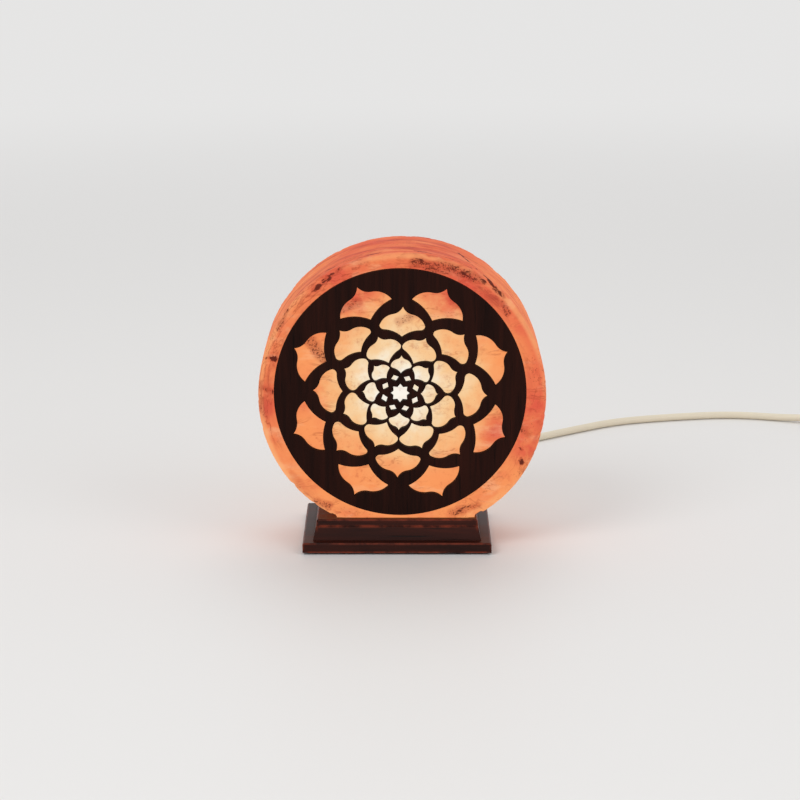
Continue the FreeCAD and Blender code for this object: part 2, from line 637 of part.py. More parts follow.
def make_holder():
    cap_corners = [
        ("0", "cap_bottom"),
        ("cap_radius - cap_bevel", "cap_bottom"),
        ("cap_radius", "cap_bottom + cap_bevel"),
        ("cap_radius", "cap_top"),
        ("cap_radius - cap_wall", "cap_top"),
        ("cap_radius - cap_wall", "cap_bottom + cap_floor"),
        ("0", "cap_bottom + cap_floor"),
    ]
    cup = turned("HolderCup", cap_corners)
    mouth = rod("HolderMouth", "sheath_bore", "2 * cap_radius", "0", "0", "cord_exit", (1, 0, 0), -90)
    cap = less("holder_cap", cup, mouth)

    inside = "sleeve_radius - sleeve_wall"
    sleeve = turned("holder_body", [
        (inside, "cap_top"),
        ("cap_radius", "cap_top"),
        ("cap_radius", "cap_top + collar_height"),
        ("sleeve_radius", "cap_top + collar_height + cap_bevel"),
        ("sleeve_radius", "cap_top + sleeve_length - sleeve_bevel"),
        ("sleeve_radius - sleeve_bevel", "cap_top + sleeve_length"),
        (inside, "cap_top + sleeve_length"),
    ])
    insulator = turned("holder_insulator", [
        ("0", "cap_top"),
        ("block_radius", "cap_top"),
        ("block_radius", "block_top"),
        ("shell_radius + neck_wall", "block_top"),
        ("shell_radius + neck_wall", "block_top + neck_rise"),
        ("shell_radius + slide_gap", "block_top + neck_rise"),
        ("shell_radius + slide_gap", "block_top"),
        ("0", "block_top"),
    ])
    shell = turned("screw_shell", [
        ("shell_radius - shell_seat", "block_top"),
        ("shell_radius", "block_top"),
        ("shell_radius", "block_top + shell_length"),
        ("shell_radius + shell_lip", "block_top + shell_length + shell_lip"),
        ("shell_radius + shell_lip - shell_wall", "block_top + shell_length + shell_lip + shell_wall"),
        ("shell_radius - shell_wall", "block_top + shell_length"),
        ("shell_radius - shell_wall", "block_top + shell_wall"),
        ("shell_radius - shell_seat", "block_top + shell_wall"),
    ])

    tongue = new_body("centre_contact")
    top = "bulb_tip_height - fit_gap"
    bent = [
        ("-tongue_width", "block_top"),
        ("tongue_width", "block_top"),
        ("tongue_width", "block_top + tongue_sheet"),
        ("-0.6 * tongue_width", "block_top + tongue_sheet"),
        ("0.4 * tongue_width", top),
        ("-0.4 * tongue_width", top),
        ("-tongue_width", "block_top + 1.4 * tongue_sheet"),
    ]
    pad(tongue, loop_sketch(tongue, "TongueSide", "XZ_Plane", bent), "tongue_width", both_ways=True)

    wings = []
    leg = "sleeve_radius + slide_gap"
    reach = "sqrt(bore_radius^2 - wing_width^2 / 4) - slide_gap"
    foot_level = "cap_top + wing_foot"
    for side, name in ((0, "RightWing"), (180, "LeftWing")):
        wing = new_body(name)
        corners = [
            (leg, foot_level),
            (leg + " + wing_sheet", foot_level),
            (leg + " + wing_sheet", foot_level + " + wing_rise - wing_sheet"),
            (leg + " + wing_bend - wing_sheet", foot_level + " + wing_rise"),
            (reach + " - wing_sheet", foot_level + " - wing_drop"),
            (reach, foot_level + " - wing_drop + wing_sheet / 2"),
            (leg + " + wing_bend", foot_level + " + wing_rise + 1.5 * wing_sheet"),
            (leg, foot_level + " + wing_rise"),
        ]
        pad(wing, loop_sketch(wing, name + "Side", "XZ_Plane", corners), "wing_width", both_ways=True)
        wings.append(place(wing, angle=side))
    wings = group("spring_clips", wings)

    clamp_level = "cord_exit + cord_radius + slide_gap"
    bar = block("ClampBar", "clamp_length", "clamp_width", "clamp_sheet", "0", "clamp_back", clamp_level)
    holes = [rod("ClampHole", "clamp_screw_radius + slide_gap", "cord_diameter", side + "clamp_spread",
                 "clamp_back", "cord_exit") for side in ("-", "")]
    clamp = less("cord_clamp", bar, *holes)
    clamp_screws = []
    terminals = []
    for side in ("-", ""):
        clamp_top = clamp_level + " + clamp_sheet"
        clamp_screws.append(turned("ClampScrew", [
            ("0", "cap_bottom + cap_floor"),
            ("clamp_screw_radius", "cap_bottom + cap_floor"),
            ("clamp_screw_radius", clamp_top),
            ("clamp_head_radius", clamp_top),
            ("clamp_head_radius", clamp_top + " + clamp_head_height"),
            ("0", clamp_top + " + clamp_head_height"),
        ], side + "clamp_spread", "clamp_back"))
        terminals.append(turned("TerminalScrew", [
            ("0", "cap_top - terminal_drop"),
            ("terminal_radius", "cap_top - terminal_drop"),
            ("terminal_radius", "cap_top - terminal_drop + terminal_head"),
            ("terminal_shank", "cap_top - terminal_drop + terminal_head"),
            ("terminal_shank", "cap_top"),
            ("0", "cap_top"),
        ], side + "terminal_spread", "-terminal_front"))
    return [cap, sleeve, insulator, shell, tongue, wings, clamp, group("clamp_screws", clamp_screws),
            group("terminal_screws", terminals)]


def tapered_boot(name, thick, thin, length, bore):
    # A moulded strain relief: a tapered tube with three grooves round it.
    corners = [(bore, "0"), (thick, "0"), (thick, length + " / 6")]
    for third in (1, 2, 3):
        share = "(%s) * %d / 5" % (length, third)
        width = "%s - (%s - (%s)) * %d / 4" % (thick, thick, thin, third)
        low = width + " - groove_depth"
        corners += [(width, share + " + groove_depth"), (low, share + " + 1.4 * groove_depth"),
                    (low, share + " + 3 * groove_depth"), (width, share + " + 3.4 * groove_depth")]
    corners += [(thin, length), (bore, length)]
    return turned(name, corners)


def sweep(path, radius, start, heading):
    ring = Part.Wire(Part.makeCircle(radius, start, heading))
    return path.makePipeShell([ring], True, False)


def solid_node(name, shape):
    node = doc.addObject("Part::Feature", name)
    node.Label = name
    node.Shape = shape
    return node


def make_leads():
    # Two insulated wires inside the cap, from the cut end of the sheath up to their terminals.
    wires = []
    radius = number("core_radius")
    for side in (-1, 1):
        start = Vector(side * radius * 4 / 3, number("sheath_end - fit_gap") - radius / 3, number("cord_exit"))
        knee = start + Vector(side * radius * 1.7, -6.2 * radius, 0)
        top = Vector(side * number("terminal_spread"), -number("terminal_front"),
                     number("cap_top - terminal_drop - slide_gap"))
        low = top - Vector(0, 0, 1.9 * radius)
        path = Part.makePolygon([start, knee, low, top])
        ring = Part.Wire(Part.makeCircle(radius, start, knee - start))
        wires.append(path.makePipeShell([ring], True, False, 2))
    return solid_node("cord_leads", Part.makeCompound(wires))


# ---- bulb ----

def make_bulb():
    tip_top = "bulb_tip_height + solder_height"
    cap_foot = "bulb_tip_height + cap_start"
    cap_end = "bulb_tip_height + cap_reach"
    foot_radius = "thread_radius - cap_draw"
    tip = turned("bulb_tip", [
        ("0", "bulb_tip_height"),
        ("0.8 * solder_radius", "bulb_tip_height + slide_gap"),
        ("solder_radius", tip_top),
        ("0", tip_top),
    ])
    ring = turned("bulb_insulator", [
        ("0", tip_top),
        ("1.25 * solder_radius", tip_top),
        (foot_radius, cap_foot + " - cap_sheet"),
        (foot_radius, cap_foot),
        ("0", cap_foot),
    ])
    cap = turned("bulb_cap", [
        ("0", cap_foot),
        (foot_radius, cap_foot),
        ("thread_radius", cap_foot + " + 2 * cap_draw"),
        ("thread_radius", cap_end),
        ("thread_radius - cap_sheet", cap_end),
        ("thread_radius - cap_sheet", cap_foot + " + 2 * cap_draw + cap_sheet"),
        (foot_radius + " - cap_sheet / 2", cap_foot + " + cap_sheet"),
        ("0", cap_foot + " + cap_sheet"),
    ])
    wide = "bulb_radius"
    neck = "thread_radius - cap_sheet - slide_gap"
    inner_neck = neck + " - glass_wall"
    glass_foot = "bulb_tip_height + glass_start"
    neck_end = cap_end + " + slide_gap"
    ball = "bulb_top - bulb_radius"
    glass = turned("bulb_glass", [
        (neck, glass_foot),
        (neck, neck_end, "-neck_bow"),
        (wide, ball, "-45"),
        ("0", "bulb_top"),
        ("0", "bulb_top - glass_wall", "45"),
        (wide + " - glass_wall", ball, "neck_bow"),
        (inner_neck, neck_end),
        (inner_neck, glass_foot),
    ])
    stem_top = "bulb_tip_height + stem_share * bulb_length"
    stem = turned("bulb_stem", [
        ("0", glass_foot),
        (inner_neck + " - slide_gap", glass_foot),
        (inner_neck + " - slide_gap", glass_foot + " + glass_wall"),
        ("stem_radius", glass_foot + " + 0.4 * stem_share * bulb_length - 4 * stem_radius"),
        ("0.8 * stem_radius", stem_top + " - stem_radius / 2"),
        ("0.6 * stem_radius", stem_top),
        ("0", stem_top),
    ])
    radius = number("filament_radius")
    low = number(stem_top) + radius
    high = low + number("filament_rise")
    spread = 0.4 * number("stem_radius")
    reach = number("filament_reach")
    corners = [Vector(-spread, 0, low), Vector(-reach, 0, high), Vector(reach, 0, high), Vector(spread, 0, low)]
    path = Part.makePolygon(corners)
    start = Part.Wire(Part.makeCircle(radius, corners[0], corners[1] - corners[0]))
    filament = solid_node("bulb_filament", path.makePipeShell([start], True, False, 2))
    return [tip, ring, cap, glass, stem, filament]


# ---- mains lead: points chosen along the table, seen from above ----

route_to_switch = [
    (0, 5.5, 6.4), (0, 66, 6.4), (7, 111, 3.1), (27, 157, 3.1), (52, 196, 3.1), (80, 233, 3.1),
    (112, 262, 3.1), (146, 289, 3.1), (182, 316, 3.1), (230, 331, 3.1), (283, 341, 3.1),
    (330, 327.5, 3.1), (372, 309.5, 8),
]
route_to_coil = [(427.2, 286.1, 8), (448, 277.3, 5.2), (461, 262, 3.6), (465, 243, 3.1), (465, 222, 3.1)]
route_to_plug = [(461.75, 210, 9.6), (462.1, 178, 9.5), (463, 144, 3.9), (462.5, 116, 6.5)]
coil_centre = (421.6, 216, 3.1)
turns_in = 2.75
turns_out = 2.25
climb_turns = 0.5
runs_of_arc = 0.45


def rounded_path(points):
    places = [Vector(*point) for point in points]
    edges = []
    start = places[0]
    radii = []
    for before, corner, after in zip(places, places[1:], places[2:]):
        into = corner - before
        out = after - corner
        shorter = min(into.Length, out.Length)
        half_turn = into.getAngle(out) / 2
        reach = runs_of_arc * shorter
        radii.append(round(reach / math.tan(half_turn)))
        into.normalize()
        out.normalize()
        arc_start = corner - into * reach
        arc_end = corner + out * reach
        inward = (out - into).normalize()
        depth = reach * (1 / math.cos(half_turn) - 1) / math.tan(half_turn)
        middle = corner + inward * depth
        edges.append(Part.LineSegment(start, arc_start).toShape())
        edges.append(Part.Arc(arc_start, middle, arc_end).toShape())
        start = arc_end
    edges.append(Part.LineSegment(start, places[-1]).toShape())
    print("arc radii", radii)
    return Part.Wire(edges)


def tube(name, path, start, heading):
    radius = number("cord_radius")
    shape = sweep(path, radius, start, heading)
    expected = math.pi * radius ** 2 * path.Length
    assert abs(shape.Volume / expected - 1) < 0.01, "volume of " + name
    print(name, "length", round(path.Length, 1))
    return solid_node(name, shape)


def free_stretch(name, points):
    path = rounded_path(points)
    start = Vector(*points[0])
    return tube(name, path, start, Vector(*points[1]) - start)


def coil_point(turn):
    # Turns are counted from the middle of the climb, where the spiral changes from in to out.
    pitch = number("coil_pitch")
    radius = number("coil_least_radius") + pitch * abs(turn)
    angle = -2 * math.pi * (turn + turns_in)
    share = min(max(turn / climb_turns + 0.5, 0), 1)
    rise = pitch * (1 - math.cos(math.pi * share)) / 2
    return Vector(*coil_centre) + Vector(radius * math.cos(angle), radius * math.sin(angle), rise)


def coil_heading(turn):
    step = 1e-4
    if abs(turn + turns_in) < step or abs(turn - turns_out) < step:
        return Vector(0, -1, 0)
    return (coil_point(turn + step) - coil_point(turn - step)).normalize()


def arc_between(start, heading, end):
    chord = end - start
    along = chord * (heading.dot(chord) / chord.Length ** 2)
    outward = (heading - along).normalize()
    bend = heading.getAngle(chord)
    middle = (start + end) / 2 + outward * (chord.Length / 2 * math.tan(bend / 2))
    return Part.Arc(start, middle, end).toShape()


def biarc(start, start_heading, end, end_heading):
    gap = end - start
    both = start_heading + end_heading
    spare = 2 * (1 - start_heading.dot(end_heading))
    reach = (-gap.dot(both) + math.sqrt(gap.dot(both) ** 2 + spare * gap.dot(gap))) / spare
    joint = (start + start_heading * reach + end - end_heading * reach) / 2
    joint_heading = (end - end_heading * reach - start - start_heading * reach).normalize()
    return [arc_between(start, start_heading, joint), arc_between(joint, joint_heading, end)]


def make_coil():
    edges = []
    steps = int(round((turns_in + turns_out) * 4))
    turns = [-turns_in + index / 4 for index in range(steps + 1)]
    straight = Vector(0, -number("cord_diameter"), 0)
    start = coil_point(turns[0])
    end = coil_point(turns[-1])
    edges.append(Part.LineSegment(start - straight, start).toShape())
    for before, after in zip(turns, turns[1:]):
        edges += biarc(coil_point(before), coil_heading(before), coil_point(after), coil_heading(after))
    edges.append(Part.LineSegment(end, end + straight).toShape())
    path = Part.Wire(edges)
    print("coil from", start - straight, "to", end + straight, "least gap", round(least_gap(path), 2))
    return tube("cord_coil", path, start - straight, straight)


def least_gap(path):
    # Points along the lead against all points more than one loop's length away.
    diameter = number("cord_diameter")
    points = path.discretize(Distance=1.5)
    apart = int(8 * diameter / 1.5)
    least = min(a.distanceToPoint(b) for i, a in enumerate(points) for b in points[i + apart:])
    return least - diameter


# ---- in-line switch, drawn lengthways along X round its own middle, then laid on the lead ----

def capsule(length, width):
    # Long sides that run tangent into drawn-in noses, with small flat ends where the lead enters.
    half = "(%s) / 2" % length
    side = "(%s) / 2" % width
    end = side + " / 2"
    shoulder = half + " - (%s) / 4 / tan(nose_bow)" % width
    bow = "-nose_bow"
    return [
        ("-(%s)" % shoulder, "-(%s)" % side),
        (shoulder, "-(%s)" % side, bow),
        (half, "-(%s)" % end),
        (half, end, bow),
        (shoulder, side),
        ("-(%s)" % shoulder, side, bow),
        ("-(%s)" % half, end),
        ("-(%s)" % half, "-(%s)" % end, bow),
    ]


def lay_switch(item, x="0", y="0", z="0"):
    # x, y, z are in the switch's own frame; its middle lies on the lead.
    item.Placement = FreeCAD.Placement(Vector(), Rotation(Vector(0, 0, 1), number("switch_heading")))
    turn = ("cos(switch_heading)", "sin(switch_heading)")
    item.setExpression("Placement.Base.x", cell("switch_x + (%s) * %s - (%s) * %s" % (x, turn[0], y, turn[1])))
    item.setExpression("Placement.Base.y", cell("switch_y + (%s) * %s + (%s) * %s" % (x, turn[1], y, turn[0])))
    item.setExpression("Placement.Base.z", cell(z))
    return item


def tilt_with_rocker(item):
    lay_switch(item, z="pin_height")
    tilt = Rotation(Vector(0, 1, 0), number("rocker_tilt"))
    item.Placement = FreeCAD.Placement(item.Placement.Base, item.Placement.Rotation.multiply(tilt))
    return item


def make_switch():
    lower = new_body("switch_lower_shell")
    outline = capsule("switch_length", "switch_width")
    pad(lower, loop_sketch(lower, "LowerOutline", "XY_Plane", outline), "switch_split")
    soften(lower, "Chamfer", "shell_bevel", lambda box: box.ZMax < 0.01)
    inside = capsule("switch_length - 2 * switch_wall", "switch_width - 2 * switch_wall")
    hollow = loop_sketch(lower, "LowerHollow", "XY_Plane", inside, "switch_wall")
    pocket(lower, hollow, reverse=True)
    posts = []
    for side in ("-", "+"):
        y = "0 %s (rocker_width / 2 + post_gap + post_sheet / 2)" % side
        posts.append(box_corners("post_width", "post_sheet", "0", y))
    for index, corners in enumerate(posts):
        sketch = loop_sketch(lower, "PinPost%d" % index, "XY_Plane", corners, "switch_wall")
        pad(lower, sketch, "pin_height + pin_radius + post_rim - switch_wall")
    eyes = circle_sketch(lower, "PinEyes", "XZ_Plane", [("0", "pin_height", "pin_radius + pivot_gap")])
    pocket(lower, eyes, "rocker_width + 2 * post_gap + 4 * post_sheet", both_ways=True)
    mouth = circle_sketch(lower, "LeadMouth", "YZ_Plane", [("0", "switch_split", "sheath_bore")])
    pocket(lower, mouth, both_ways=True)
    spots = [("-boss_along", "boss_across"), ("boss_along", "-boss_across")]
    holes = [spot + ("switch_head_radius + slide_gap",) for spot in spots]
    pocket(lower, circle_sketch(lower, "ScrewHoles", "XY_Plane", holes), "switch_wall", reverse=True)

    upper = new_body("switch_upper_shell")
    outline = loop_sketch(upper, "UpperOutline", "XY_Plane", outline, "switch_split")
    pad(upper, outline, "switch_height - switch_split")
    top = number("switch_height")
    soften(upper, "Fillet", "shell_round", lambda box: abs(box.ZMin - top) < 0.01)
    hollow = loop_sketch(upper, "UpperHollow", "XY_Plane", inside, "switch_split")
    pocket(upper, hollow, "switch_height - switch_split - switch_wall", reverse=True)
    window = box_corners("rocker_length + 2 * rocker_gap", "rocker_width + 2 * rocker_gap")
    pocket(upper, loop_sketch(upper, "RockerWindow", "XY_Plane", window, "switch_split"), reverse=True)
    mouth = circle_sketch(upper, "UpperMouth", "YZ_Plane", [("0", "switch_split", "sheath_bore")])
    pocket(upper, mouth, both_ways=True)
    boss_foot = "switch_split - boss_reach"
    bosses = [spot + ("boss_radius",) for spot in spots]
    bosses = circle_sketch(upper, "ScrewBosses", "XY_Plane", bosses, boss_foot)
    pad(upper, bosses, "switch_height - switch_split - switch_wall / 2 + boss_reach")
    bores = [spot + ("switch_screw_radius + pivot_gap",) for spot in spots]
    pocket(upper, circle_sketch(upper, "BossBores", "XY_Plane", bores, boss_foot), "boss_bore", reverse=True)

    half = "rocker_length / 2"
    rocker = new_body("switch_rocker")
    side = [
        ("-" + half, "-rocker_drop / 2"),
        ("-0.3 * rocker_length / 2", "-rocker_drop"),
        ("0.3 * rocker_length / 2", "-rocker_drop"),
        (half, "-rocker_drop / 2"),
        (half + " - rocker_draw", "rocker_end", "-rocker_bow"),
        ("0", "rocker_dip", "-rocker_bow"),
        ("rocker_draw - " + half, "rocker_end"),
    ]
    pad(rocker, loop_sketch(rocker, "RockerSide", "XZ_Plane", side), "rocker_width", both_ways=True)
    eye = circle_sketch(rocker, "RockerEye", "XZ_Plane", [("0", "0", "pin_radius + pivot_gap")])
    pocket(rocker, eye, both_ways=True)

    pin_length = "rocker_width + 2 * post_gap + 2 * post_sheet"
    pin_start = "0 - (%s) / 2" % pin_length
    pin = rod("PivotPin", "pin_radius", pin_length, "0", pin_start, "pin_height", (1, 0, 0), -90)
    pin = group("switch_pin", [pin])

    bridge = new_body("switch_bridge")
    strip = [
        ("-bridge_reach", "-rocker_drop - bridge_sheet"),
        ("bridge_reach", "-rocker_drop - bridge_sheet"),
        ("bridge_reach", "-rocker_drop - bridge_sheet / 2"),
        ("0.3 * rocker_length / 2", "-rocker_drop"),
        ("-0.3 * rocker_length / 2", "-rocker_drop"),
        ("-bridge_reach", "-rocker_drop - bridge_sheet / 2"),
    ]
    pad(bridge, loop_sketch(bridge, "BridgeSide", "XZ_Plane", strip), "stud_width", both_ways=True)

    contacts = []
    for name, x in (("InContact", "-stud_spread"), ("OutContact", "stud_spread")):
        contacts.append(block(name, "stud_length", "stud_width", "stud_height", x, "0", "switch_wall"))
    contacts = group("switch_contacts", contacts)

    screws = []
    head_top = "switch_head_sink + switch_head_height"
    screw_end = head_top + " + switch_screw_length"
    for x, y in spots:
        screws.append(turned("SwitchScrew", [
            ("0", "switch_head_sink"),
            ("switch_head_radius", "switch_head_sink"),
            ("switch_head_radius", head_top),
            ("switch_screw_radius", head_top + " + slide_gap"),
            ("switch_screw_radius", screw_end + " - switch_screw_radius"),
            ("0", screw_end),
        ], x, y))
    screws = group("switch_screws", screws)
    still = [lay_switch(item) for item in (lower, upper, pin, contacts, screws)]
    return still + [tilt_with_rocker(item) for item in (rocker, bridge)]


# ---- mains plug, lying flat on the table ----

def make_plug():
    end = route_to_plug[-1]
    x = end[0]
    back = "%s - plug_boot_length" % end[1]
    thin = "plug_boot_radius - plug_boot_taper"
    boot = tapered_boot("plug_boot", "plug_boot_radius", thin, "plug_boot_length", "sheath_bore")
    place(boot, x, back, end[2], (1, 0, 0), -90)
    body = new_body("plug_body")
    half = "plug_body_width / 2"
    shoulder = "-(plug_body_width / 2 - plug_neck) / tan(nose_bow)"
    outline = [
        ("plug_neck", "0"),
        ("-plug_neck", "0", "-nose_bow"),
        ("-" + half, shoulder),
        ("-" + half, "-plug_body_length"),
        (half, "-plug_body_length"),
        (half, shoulder, "-nose_bow"),
    ]
    pad(body, loop_sketch(body, "PlugOutline", "XY_Plane", outline), "plug_body_height", both_ways=True)
    soften(body, "Fillet", "shell_round", lambda box: box.ZLength < 0.01)
    blades = [(side + "blade_spread", "0", "blade_radius") for side in ("-", "")]
    blades = circle_sketch(body, "BladeSeats", "XZ_Plane", blades, "plug_body_length")
    pocket(body, blades, "blade_root")
    place(body, x, back, end[2])
    front = "%s - plug_boot_length - plug_body_length" % end[1]
    pins = []
    sleeves = []
    for side in ("-", "+"):
        middle = "%s %s blade_spread" % (x, side)
        pins.append(turned("Blade", [
            ("0", "-blade_root"),
            ("blade_radius", "-blade_root"),
            ("blade_radius", "0"),
            ("blade_radius - blade_draw", "0"),
            ("blade_radius - blade_draw", "sleeve_share"),
            ("blade_radius", "sleeve_share"),
            ("blade_radius", "blade_length - blade_point"),
            ("blade_radius / 2", "blade_length"),
            ("0", "blade_length"),
        ], middle, front, end[2], (1, 0, 0), 90))
        sleeves.append(turned("BladeSleeve", [
            ("blade_radius - blade_draw", "0"),
            ("blade_radius", "0"),
            ("blade_radius", "sleeve_share"),
            ("blade_radius - blade_draw", "sleeve_share"),
        ], middle, front, end[2], (1, 0, 0), 90))
    return [boot, body, group("plug_pins", pins), group("plug_sleeves", sleeves)]


nodes = [make_salt(), make_panel(), make_slab(), make_riser(), make_plate(), make_feet()]
nodes += make_fixings()
nodes += make_holder()
boot = tapered_boot("holder_boot", "boot_radius", "boot_radius - boot_taper", "boot_length", "sheath_bore")
nodes.append(place(boot, "0", "cap_radius", "cord_exit", (1, 0, 0), -90))
nodes.append(make_leads())
nodes += make_bulb()
nodes.append(free_stretch("cord_to_switch", route_to_switch))
nodes.append(free_stretch("cord_from_switch", route_to_coil))
nodes.append(make_coil())
nodes.append(free_stretch("cord_to_plug", route_to_plug))
nodes += make_switch()
nodes += make_plug()
doc.recompute()

for item in doc.Objects:
    assert "Invalid" not in item.State and "Error" not in item.State, "%s: %s" % (item.Label, item.State)
for node in nodes:
    assert not node.Shape.isNull() and node.Shape.isValid(), node.Label

os.makedirs("parts", exist_ok=True)
for node in nodes:
    node.Shape.exportStep("parts/%s.step" % node.Label)
print(len(nodes), "nodes")
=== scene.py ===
import bpy
import bmesh
import math
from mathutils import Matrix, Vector, noise


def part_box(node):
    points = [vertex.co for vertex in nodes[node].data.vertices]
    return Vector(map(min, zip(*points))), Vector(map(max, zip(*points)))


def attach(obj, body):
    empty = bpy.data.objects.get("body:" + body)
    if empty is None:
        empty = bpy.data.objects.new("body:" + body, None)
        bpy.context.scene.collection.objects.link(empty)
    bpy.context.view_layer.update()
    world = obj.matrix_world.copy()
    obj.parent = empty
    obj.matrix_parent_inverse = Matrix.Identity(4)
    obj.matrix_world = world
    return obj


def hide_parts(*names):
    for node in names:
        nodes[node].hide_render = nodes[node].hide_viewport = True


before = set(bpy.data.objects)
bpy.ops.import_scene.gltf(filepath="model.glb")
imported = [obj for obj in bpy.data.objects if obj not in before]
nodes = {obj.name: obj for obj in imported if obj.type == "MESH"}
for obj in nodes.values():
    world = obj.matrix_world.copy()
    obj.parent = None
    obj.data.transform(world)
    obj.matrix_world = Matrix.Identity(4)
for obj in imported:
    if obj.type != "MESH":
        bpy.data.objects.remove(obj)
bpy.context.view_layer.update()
print("frame loaded:", len(nodes), "nodes")

# camera at the photo's place: 1.66 m in front, looking a little down
cameraSetup = {
    "place": (-0.0014, -1.6598, 0.5067),
    "looksAt": (-0.0014, 0.0, 0.09933),
    "lens": 108.07,
    "sensor": 36.0,
}
cameraData = bpy.data.cameras.new("photoCamera")
cameraData.lens = cameraSetup["lens"]
cameraData.sensor_width = cameraSetup["sensor"]
camera = bpy.data.objects.new("photoCamera", cameraData)
bpy.context.collection.objects.link(camera)
camera.location = cameraSetup["place"]
lookAlong = Vector(cameraSetup["looksAt"]) - Vector(cameraSetup["place"])
camera.rotation_euler = lookAlong.to_track_quat("-Z", "Y").to_euler()
bpy.context.scene.camera = camera
print("camera set")


# small helpers for colours and shader nodes
def screenColor(red, green, blue):
    # from the 0 to 255 of a colour picker to Blender's linear values, by the sRGB curve
    def toLinear(value):
        value = value / 255
        return value / 12.92 if value <= 0.04045 else ((value + 0.055) / 1.055) ** 2.4
    return (toLinear(red), toLinear(green), toLinear(blue), 1.0)


def mixOf(first, second, share):
    return tuple(a + (b - a) * share for a, b in zip(first, second))


def startMaterial(name):
    material = bpy.data.materials.new(name)
    material.use_nodes = True
    tree = material.node_tree
    tree.nodes.clear()
    out = tree.nodes.new("ShaderNodeOutputMaterial")
    shader = tree.nodes.new("ShaderNodeBsdfPrincipled")
    tree.links.new(shader.outputs["BSDF"], out.inputs["Surface"])
    return material, tree, shader


def plug(tree, socket, value):
    # links a socket, or sets a plain value on it
    if isinstance(value, bpy.types.NodeSocket):
        tree.links.new(value, socket)
    else:
        socket.default_value = value


def setSockets(tree, node, values):
    for socket, value in values.items():
        plug(tree, node.inputs[socket], value)


def addNode(tree, kind, sockets=None, **settings):
    node = tree.nodes.new("ShaderNode" + kind)
    for key, value in settings.items():
        setattr(node, key, value)
    setSockets(tree, node, sockets or {})
    return node


def objectCoords(tree):
    return addNode(tree, "TexCoord").outputs["Object"]


def stretched(tree, coords, scale=(1, 1, 1), turn=(0, 0, 0)):
    return addNode(tree, "Mapping", {"Vector": coords, "Scale": scale, "Rotation": turn}).outputs[0]


def splitUp(tree, vector):
    return addNode(tree, "SeparateXYZ", {0: vector}).outputs


def maths(tree, operation, first, second=0.0, clamp=False):
    node = addNode(tree, "Math", {0: first, 1: second}, operation=operation, use_clamp=clamp)
    return node.outputs[0]


def plus(tree, first, second):
    return maths(tree, "ADD", first, second)


def minus(tree, first, second):
    return maths(tree, "SUBTRACT", first, second)


def times(tree, first, second):
    return maths(tree, "MULTIPLY", first, second)


def larger(tree, first, second):
    return maths(tree, "MAXIMUM", first, second)


def absolute(tree, value):
    return maths(tree, "ABSOLUTE", value)


def between(tree, share, atNone, atFull):
    # atNone where share is 0, atFull where it is 1
    return plus(tree, atNone, times(tree, share, atFull - atNone))


def vectors(tree, operation, first, second, output=0):
    return addNode(tree, "VectorMath", {0: first, 1: second}, operation=operation).outputs[output]


def scaled(tree, vector, amount):
    return addNode(tree, "VectorMath", {0: vector, "Scale": amount}, operation="SCALE").outputs[0]


def distanceTo(tree, coords, place):
    return vectors(tree, "DISTANCE", coords, place, "Value")


def mixColors(tree, factor, first, second):
    node = addNode(tree, "Mix", data_type="RGBA", clamp_factor=True)
    # the node has sockets for numbers and vectors too: its colours are 6, 7 and output 2
    plug(tree, node.inputs[0], factor)
    plug(tree, node.inputs[6], first)
    plug(tree, node.inputs[7], second)
    return node.outputs[2]


def rampOf(tree, factor, stops):
    node = addNode(tree, "ValToRGB", {"Fac": factor})
    ramp = node.color_ramp
    while len(ramp.elements) < len(stops):
        ramp.elements.new(0.5)
    for element, (position, color) in zip(ramp.elements, stops):
        element.position = position
        element.color = color
    return node.outputs["Color"]


def fade(tree, value, low, high):
    # 0 below low, 1 above high, smooth between
    node = addNode(tree, "MapRange", {"Value": value, "From Min": low, "From Max": high},
                   interpolation_type="SMOOTHSTEP")
    return node.outputs["Result"]


def rangeOf(tree, value, low, high):
    # a noise value, laid out from low to high
    return addNode(tree, "MapRange", {"Value": value, "To Min": low, "To Max": high}).outputs[0]


def noiseOf(tree, coords, scale, detail=3.0, rough=0.5, distortion=0.0):
    node = addNode(tree, "TexNoise", {"Vector": coords, "Scale": scale, "Detail": detail,
                                      "Roughness": rough, "Distortion": distortion})
    return node.outputs["Fac"]


def bumpOf(tree, height, strength, depth):
    return addNode(tree, "Bump", {"Height": height, "Strength": strength, "Distance": depth}).outputs[0]


def dress(material, *names):
    for name in names:
        piece = nodes[name]
        if not piece.data.materials:
            piece.data.materials.append(material)
        for slot in piece.material_slots:
            slot.material = material


def addPiece(name, data, mesh=None):
    # puts a mesh, curve or lamp in the scene; a mesh is filled from what bmesh has built
    if mesh:
        mesh.to_mesh(data)
        mesh.free()
    piece = bpy.data.objects.new(name, data)
    bpy.context.collection.objects.link(piece)
    return piece


# mains lead: one line from the holder, through the switch, round the coil and to the plug
lead = {
    "toSwitch": [(0, .0055, .0064), (0, .066, .0064), (.007, .111, .0031), (.027, .157, .0031),
                 (.052, .196, .0031), (.080, .233, .0031), (.112, .262, .0031), (.146, .289, .0031),
                 (.182, .316, .0031), (.230, .331, .0031), (.283, .341, .0031), (.330, .3275, .0031),
                 (.372, .3095, .008)],
    "inSwitch": [(.3904, .3017, .0049), (.4088, .2939, .0049)],
    "toCoil": [(.4272, .2861, .008), (.448, .2773, .0052), (.461, .262, .0036), (.465, .243, .0031),
               (.465, .222, .0031)],
    "toPlug": [(.46175, .210, .0096), (.4621, .178, .0095), (.463, .144, .0039), (.4625, .116, .0065)],
    "coilCentre": (.4216, .216, .0031),
    "turnsIn": 2.75,
    "turnsOut": 2.25,
    "leastRadius": .0255,
    "pitch": .0065,
    "pointsPerTurn": 16,
    "climbTurns": 0.5,
    "diameter": .006,
    "length": 1.86,
}


